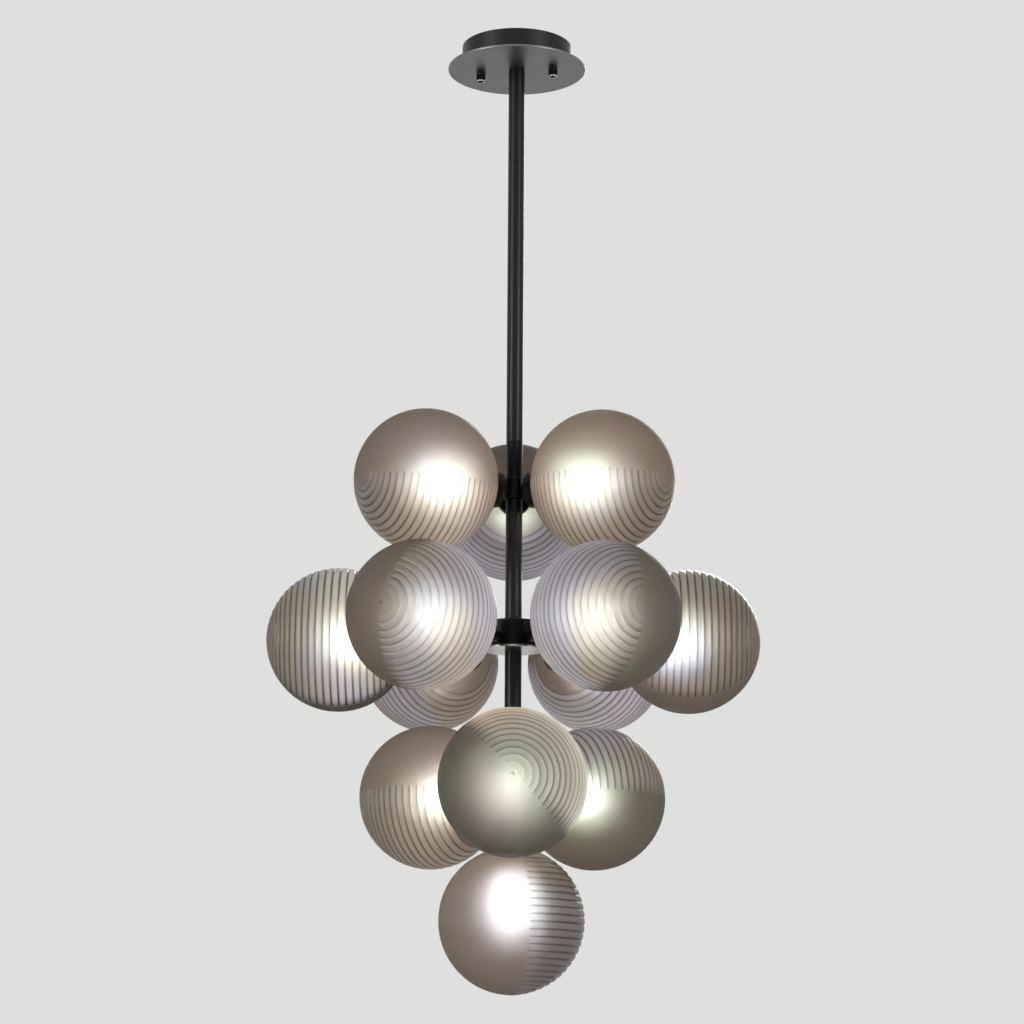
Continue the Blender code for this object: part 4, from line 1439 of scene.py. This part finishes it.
@dataclass(frozen=True)
class Lampholder:
    """Porcelain lampholder with a stepped foot and turned grooves."""

    radius: float = 0.0105
    foot: float = 0.006
    step: float = 0.0010
    chamfer: float = 0.0008
    top: float = -0.0555034
    grooves: int = 5
    first_groove: float = 0.0100
    groove_pitch: float = 0.0030
    groove_depth: float = 0.0008
    groove_side: float = 0.0006
    ease: float = 0.0003
    sides: int = 40

    def mesh(self, floor: float) -> bpy.types.Mesh:
        """The lampholder, standing on a floor.

        Args:
            floor: Height of the floor.

        Returns:
            The mesh about the light point's axis.
        """
        barrel = self.radius - self.step
        valley = barrel - self.groove_depth
        outline = [(0.0, floor), (self.radius, floor), (self.radius, floor + self.foot),
                   (barrel, floor + self.foot + self.chamfer)]
        for groove in range(self.grooves):
            level = floor + self.first_groove + self.groove_pitch * groove
            outline += [(barrel, level), (valley, level + self.groove_side),
                        (valley, level + self.groove_side * 2), (barrel, level + self.groove_side * 3)]
        outline += [(barrel, self.top), (0.0, self.top)]
        return lathed("lampholder", outline, self.ease, self.sides)


@dataclass(frozen=True)
class CapsuleLamp:
    """Capsule lamp with a narrower base and a round end."""

    radius: float = 0.010
    back: float = -0.0552034
    tip: float = 0.0067966
    base_step: float = 0.0012
    base_length: float = 0.0050
    taper: float = 0.0025
    crown: float = 0.0085
    crown_steps: int = 12
    ease: float = 0.0005
    sides: int = 40

    def mesh(self) -> bpy.types.Mesh:
        """The lamp about its own axis.

        Returns:
            The mesh.
        """
        base = self.radius - self.base_step
        base_end = self.back + self.base_length
        foot = self.tip - self.crown
        outline = [(0.0, self.back), (base, self.back), (base, base_end),
                   (self.radius, base_end + self.taper), (self.radius, foot)]
        rows = eased(outline, self.ease) + dome(self.radius, foot, self.crown, self.crown_steps)
        return turned("capsule_lamp", rows, even_turns(self.sides))


@dataclass(frozen=True)
class LightPoints:
    """All cups, lampholders, lamps and globes."""

    cup: Cup = Cup()
    holder: Lampholder = Lampholder()
    lamp: CapsuleLamp = CapsuleLamp()
    globe: Globe = Globe()

    def build(self) -> None:
        """Make each kind of piece once and set a copy in place at each light point."""
        cans = {tier: self.cup.can(neck, tier) for tier, neck in TIER_NECKS.items()}
        holder = self.holder.mesh(self.cup.floor())
        lamp = self.lamp.mesh()
        glass = self.globe.mesh()
        for point in LIGHT_POINTS:
            axis = point.axis()
            set_in_place(point.name + "_can", cans[point.tier].copy(), BLACK_STEEL,
                         stands_for=[point.name + "_cup"], place=axis)
            set_in_place(point.name + "_lampholder", holder.copy(), PORCELAIN, place=axis)
            set_in_place(point.name + "_capsule", self.matched(lamp, point), LIT_LAMP,
                         stands_for=[point.name + "_lamp"], place=axis)
            globe = point.name + "_globe"
            set_in_place(point.name + "_glass", self.matched(glass, point), SMOKED_GLASS, body=globe,
                         stands_for=[globe], place=point.globe_place())

    @staticmethod
    def matched(mesh: bpy.types.Mesh, point: LightPoint) -> bpy.types.Mesh:
        """A copy of a mesh that carries the light point's looks on its points.

        Args:
            mesh: A lamp or a globe.
            point: The light point that it goes to.

        Returns:
            The copy.
        """
        made = mesh.copy()
        # Two of these numbers set how strongly glow is painted on the glass.
        for title in ("level", "painted_glow", "painted_shine", "tone", "reed_tone"):
            values = [getattr(point, title)] * len(made.vertices)
            made.attributes.new(title, "FLOAT", "POINT").data.foreach_set("value", values)
        return made


@dataclass(frozen=True)
class ConnectorBlock:
    """The stepped connector block and its rows of clamp screws."""

    half_width: float = 0.0085
    half_length: float = 0.015
    height: float = 0.012
    step: float = 0.0045
    reach: float = 0.032
    ease: float = 0.0004
    screw_radius: float = 0.0016
    screw_top: float = 0.0005
    screw_foot: float = -0.001
    screw_ease: float = 0.0002
    screw_sides: int = 16
    screws: int = 3
    screw_pitch: float = 0.0095
    screw_shift: float = 0.00625

    def build(self, floor: float) -> None:
        """Block and screws, standing on a floor.

        Args:
            floor: Height of the floor.
        """
        half = self.half_width
        ridge = half - self.step
        shelf = self.height - self.step
        section = [Vector((across, up, 0.0)) for across, up in (
            (-half, 0.0), (half, 0.0), (half, shelf), (ridge, shelf), (ridge, self.height),
            (-ridge, self.height), (-ridge, shelf), (-half, shelf))]
        block = sawn("connector", section, [], -self.half_length, self.half_length, self.ease)
        turn = Matrix(((0, 0, 1, 0), (1, 0, 0, self.reach), (0, 1, 0, floor), (0, 0, 0, 1)))
        set_in_place("connector_block", block, TERMINAL_PLASTIC, stands_for=["terminal_block"], place=turn)
        outline = [(0.0, self.screw_foot), (self.screw_radius, self.screw_foot),
                   (self.screw_radius, self.screw_top), (0.0, self.screw_top)]
        for name, shift in (("front", -self.screw_shift), ("back", self.screw_shift)):
            head = lathed("screw_blank", outline, self.screw_ease, self.screw_sides)
            screws = RowJig(self.screws, self.screw_pitch).use(head, ZINC)
            set_in_place("connector_screws_" + name, screws, ZINC,
                         place=Matrix.Translation((0.0, self.reach + shift, floor + shelf)))


@dataclass(frozen=True)
class CapNut:
    """A knurled nut with a domed end, hanging from its own origin."""

    radius: float = 0.005
    body: float = 0.0075
    dome: float = 0.003
    dome_step: float = 0.0008
    chamfer: float = 0.0003
    ease: float = 0.0001
    knurls: int = 24
    knurl_pitch: float = 0.0100
    knurl_depth: float = 0.00035
    knurl_margin: float = 0.0008
    wall_steps: int = 30
    dome_steps: int = 10
    # Rows round the foot of the dome that carry a painted glint.
    painted_glint_rows: tuple[int, ...] = (2, 3)
    sides: int = 144

    def mesh(self) -> bpy.types.Mesh:
        """Turn the nut and knurl its wall.

        Returns:
            The knurled mesh.
        """
        wall = 2 * self.chamfer - self.body
        rows = eased([(0.0, 0.0), (self.radius - self.chamfer, 0.0), (self.radius, -self.chamfer)], self.ease)
        rows += [Row(self.radius, wall * step / self.wall_steps - self.chamfer, outer=1.0)
                 for step in range(1, self.wall_steps + 1)]
        rows += [Row(self.radius - 0.0001, 0.00035 - self.body), Row(self.radius - 0.0005, -self.body)]
        rows += dome(self.radius - self.dome_step, -self.body - self.chamfer, self.chamfer - self.dome,
                     self.dome_steps, self.painted_glint_rows)
        knurl = GrooveTool(starts=float(self.knurls), pitch=self.knurl_pitch, depth=self.knurl_depth,
                           low=self.knurl_margin - self.body, high=-self.knurl_margin, crossed=1.0)
        return knurl.use(turned("cap_nut_blank", rows, even_turns(self.sides)), NUT_STEEL)


@dataclass(frozen=True)
class Stud:
    """A threaded stud with a flat head, under the strap."""

    radius: float = 0.002
    tip: float = -0.0335
    end_step: float = 0.0004
    head_radius: float = 0.0042
    head_height: float = 0.003
    head_ease: float = 0.0004
    neck: float = 0.0002
    thread_margin: float = 0.0005
    thread_pitch: float = 0.0007
    thread_depth: float = 0.00022
    rows_per_turn: int = 5
    sides: int = 24

    def mesh(self, under: float) -> bpy.types.Mesh:
        """The stud, hanging from the strap's underside.

        Args:
            under: Height of the strap's underside.

        Returns:
            The threaded mesh.
        """
        head_end = under - self.head_height
        spacing = self.thread_pitch / self.rows_per_turn
        shank_top = head_end - self.neck
        rows = eased([(0.0, under), (self.head_radius, under), (self.head_radius, head_end),
                      (self.radius, head_end)], self.head_ease)
        rows += [Row(self.radius, shank_top - spacing * step, outer=1.0)
                 for step in range(int((shank_top - self.tip) / spacing))]
        rows += [Row(self.radius - self.end_step, self.tip), Row(0.0, self.tip)]
        thread = GrooveTool(starts=1.0, pitch=self.thread_pitch, depth=self.thread_depth, low=self.tip,
                            high=head_end - self.thread_margin)
        return thread.use(turned("stud_blank", rows, even_turns(self.sides)), ZINC)


@dataclass(frozen=True)
class Canopy:
    """Ceiling strap, studs, drum, plate, nuts and connector block."""

    turn: float = math.radians(-12.0)
    strap_length: float = 0.104
    strap_width: float = 0.024
    strap_thickness: float = 0.002
    strap_ease: float = 0.0003
    slot_length: float = 0.018
    slot_width: float = 0.0065
    slot_reach: float = 0.022
    stud_reach: float = 0.040
    drum_radius: float = 0.0595
    drum_height: float = 0.024
    drum_wall: float = 0.0012
    drum_ease: float = 0.0009
    plate_radius: float = 0.0745
    plate_top: float = -0.0243
    plate_under: float = -0.0263
    plate_ease: float = 0.0003
    nut_top: float = -0.0266
    floor: float = -0.0225
    hexagon_width: float = 0.022
    hexagon_height: float = 0.005
    hexagon_ease: float = 0.0005
    bore_sides: int = 48
    sides: int = 144
    stud: Stud = Stud()
    connector: ConnectorBlock = ConnectorBlock()
    cap_nut: CapNut = CapNut()

    def build(self) -> None:
        """Every piece of the canopy, from the ceiling down."""
        self.build_strap()
        self.build_shell()
        self.build_lock_nut()
        self.connector.build(self.floor)
        self.build_cap_nuts()

    def across(self, side: int) -> Matrix:
        """Place of the stud on one side."""
        return Matrix.Rotation(self.turn, 4, "Z") @ Matrix.Translation((side * self.stud_reach, 0.0, 0.0))

    def build_strap(self) -> None:
        """The slotted strap and its two threaded studs."""
        bar = slot_hole(self.strap_length, self.strap_width)
        slots = [slot_hole(self.slot_length, self.slot_width, side * self.slot_reach) for _, side in SIDES]
        mesh = sawn("strap", bar, slots, -self.strap_thickness, 0.0, self.strap_ease)
        set_in_place("ceiling_strap_bar", mesh, ZINC, stands_for=["ceiling_strap"],
                     place=Matrix.Rotation(self.turn, 4, "Z"))
        for name, side in SIDES:
            set_in_place("stud_" + name, self.stud.mesh(-self.strap_thickness), ZINC, place=self.across(side))

    def build_shell(self) -> None:
        """The spun drum and the plate under it."""
        bore = Stem().bore
        inner = self.drum_radius - self.drum_wall
        floor = self.drum_wall - self.drum_height
        drum = [(self.drum_radius, -self.drum_height), (self.drum_radius, 0.0), (inner, 0.0), (inner, floor),
                (bore, floor), (bore, -self.drum_height)]
        mesh = lathed("drum", drum, self.drum_ease, self.sides, ring=True)
        set_in_place("canopy_drum_shell", mesh, DRUM_STEEL, stands_for=["canopy_drum"])
        plate = [(self.plate_radius, self.plate_top), (bore, self.plate_top), (bore, self.plate_under),
                 (self.plate_radius, self.plate_under)]
        mesh = lathed("plate", plate, self.plate_ease, self.sides, ring=True)
        set_in_place("canopy_plate_disc", mesh, SHADED_PLATE_STEEL, stands_for=["canopy_plate"])

    def build_lock_nut(self) -> None:
        """The hexagon nut that holds the stem up in the canopy."""
        corner = self.hexagon_width / 2 / math.cos(math.radians(30.0))
        mesh = sawn("lock_nut", circle(corner, 6), [circle(Stem().bore, self.bore_sides)], self.floor,
                    self.floor + self.hexagon_height, self.hexagon_ease)
        set_in_place("stem_lock_nut_hex", mesh, ZINC, stands_for=["stem_lock_nut"])

    def build_cap_nuts(self) -> None:
        """The knurled nut under each stud, on its own body."""
        for name, side in SIDES:
            body = "cap_nut_" + name
            place = self.across(side) @ Matrix.Translation((0.0, 0.0, self.nut_top))
            set_in_place("knurled_nut_" + name, self.cap_nut.mesh(), NUT_STEEL, body=body, stands_for=[body],
                         place=place)


@dataclass(frozen=True)
class StripLight:
    """One soft studio light that faces the middle of the object."""

    name: str
    azimuth: float
    height: float
    distance: float
    width: float
    length: float
    power: float

    def build(self, aim: Vector) -> None:
        """Hang the light and point it.

        Args:
            aim: Where it points.
        """
        lamp = bpy.data.lights.new(self.name, "AREA")
        lamp.shape = "RECTANGLE"
        lamp.size = self.width
        lamp.size_y = self.length
        lamp.energy = self.power
        holder = bpy.data.objects.new(self.name, lamp)
        turn = math.radians(self.azimuth)
        holder.location = aim + Vector((math.sin(turn) * self.distance, -math.cos(turn) * self.distance,
                                        self.height))
        holder.rotation_euler = (aim - holder.location).to_track_quat("-Z", "Y").to_euler()
        bpy.context.scene.collection.objects.link(holder)


@dataclass(frozen=True)
class Studio:
    """Camera, soft lights, pale floor and pale surroundings."""

    focal_pixels: float = 2825.0
    frame_pixels: float = 1024.0
    sensor: float = 36.0
    eye: tuple[float, float, float] = (-0.0022, -2.911, -1.1307)
    pitch: float = 0.2077
    roll: float = 0.0064
    backdrop: Colour = (0.74, 0.74, 0.73, 1.0)
    ambient: float = 0.50
    paint: Colour = (0.70, 0.70, 0.69, 1.0)
    floor_height: float = -1.50
    floor_radius: float = 9.0
    floor_sides: int = 96
    fade_start: float = 1.2
    fade_end: float = 4.5
    aim: tuple[float, float, float] = (0.0, 0.0, -0.52)
    lights: tuple[StripLight, ...] = (
        StripLight("left_strip", -54.0, 0.15, 2.4, 0.55, 2.0, 36.0),
        StripLight("right_strip", 47.0, 0.10, 2.4, 0.46, 2.0, 34.0),
        StripLight("back_strip", 165.0, 0.9, 2.6, 0.9, 1.2, 22.0),
    )

    def build(self) -> None:
        """Set up the whole studio."""
        bpy.context.scene.view_settings.view_transform = "Standard"
        self.build_camera()
        self.build_surroundings()
        self.build_floor()
        for light in self.lights:
            light.build(Vector(self.aim))

    def build_camera(self) -> None:
        """Camera at the photograph's place, tilt and roll."""
        lens = bpy.data.cameras.new("photo_camera")
        lens.sensor_width = self.sensor
        lens.lens = self.focal_pixels / self.frame_pixels * self.sensor
        camera = bpy.data.objects.new("photo_camera", lens)
        forward = Vector((0.0, math.cos(self.pitch), math.sin(self.pitch)))
        right = Vector((1.0, 0.0, 0.0))
        up = Vector((0.0, -math.sin(self.pitch), math.cos(self.pitch)))
        tilted_right = right * math.cos(self.roll) + up * math.sin(self.roll)
        tilted_up = up * math.cos(self.roll) - right * math.sin(self.roll)
        basis = Matrix((tilted_right, tilted_up, -forward)).transposed().to_4x4()
        camera.matrix_world = Matrix.Translation(self.eye) @ basis
        bpy.context.scene.collection.objects.link(camera)
        bpy.context.scene.camera = camera

    @staticmethod
    def seen(graph: NodeGraph) -> Field:
        """One for rays that come from the camera, a reflection or through glass.

        Args:
            graph: The graph to write into.

        Returns:
            The mask.
        """
        camera = graph.node("ShaderNodeLightPath", output="Is Camera Ray")
        total = camera + camera.output("Is Glossy Ray") + camera.output("Is Transmission Ray")
        return graph.math("MINIMUM", total, 1.0)

    def build_surroundings(self) -> None:
        """Pale surroundings where they are seen, and an even soft light elsewhere."""
        world = bpy.data.worlds.new("studio")
        bpy.context.scene.world = world
        world.use_nodes = True
        world.node_tree.nodes.clear()
        graph = NodeGraph(world.node_tree)
        grey = (self.ambient, self.ambient, self.ambient, 1.0)
        shade = graph.node("ShaderNodeBackground", sockets={
            "Color": graph.blend(grey, self.backdrop, self.seen(graph)), "Strength": 1.0})
        graph.node("ShaderNodeOutputWorld", sockets={"Surface": shade})

    def build_floor(self) -> None:
        """A wide pale floor that fades into the surroundings."""
        mesh = bpy.data.meshes.new("studio_floor")
        rim = circle(self.floor_radius, self.floor_sides)
        corners = [(point.x, point.y, self.floor_height) for point in rim]
        mesh.from_pydata(corners, [], [list(range(len(corners)))])
        floor = bpy.data.objects.new("studio_floor", mesh)
        bpy.context.scene.collection.objects.link(floor)
        made = bpy.data.materials.new("studio_floor")
        made.use_nodes = True
        made.node_tree.nodes.clear()
        graph = NodeGraph(made.node_tree)
        level = graph.vector("MULTIPLY", {0: graph.place(), 1: (1.0, 1.0, 0.0)})
        far = graph.smooth_step(graph.vector("LENGTH", {0: level}, "Value"), self.fade_start, self.fade_end)
        paint = graph.principled({"Base Color": self.paint, "Roughness": 0.75 + graph.noise(3.0) * 0.1})
        glow = graph.node("ShaderNodeEmission", sockets={"Color": self.backdrop, "Strength": 1.0})
        mixed = graph.node("ShaderNodeMixShader", sockets={0: far * self.seen(graph), 1: paint, 2: glow})
        graph.node("ShaderNodeOutputMaterial", sockets={"Surface": mixed})
        mesh.materials.append(made)


def main() -> None:
    """Build the studio and every part of the chandelier."""
    logging.basicConfig(level=logging.INFO, format="%(message)s")
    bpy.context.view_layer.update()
    Studio().build()
    Canopy().build()
    Stem().build()
    Hub("tier_1_hub", top=-0.4813, riser=0.0385, azimuths=(-60.0, 60.0, 180.0)).build()
    DrumHub().build()
    Hub("tier_3_hub", top=-0.7990, riser=0.0, azimuths=(0.0, -120.0, 120.0)).build()
    LightPoints().build()


if __name__ == "__main__":
    main()
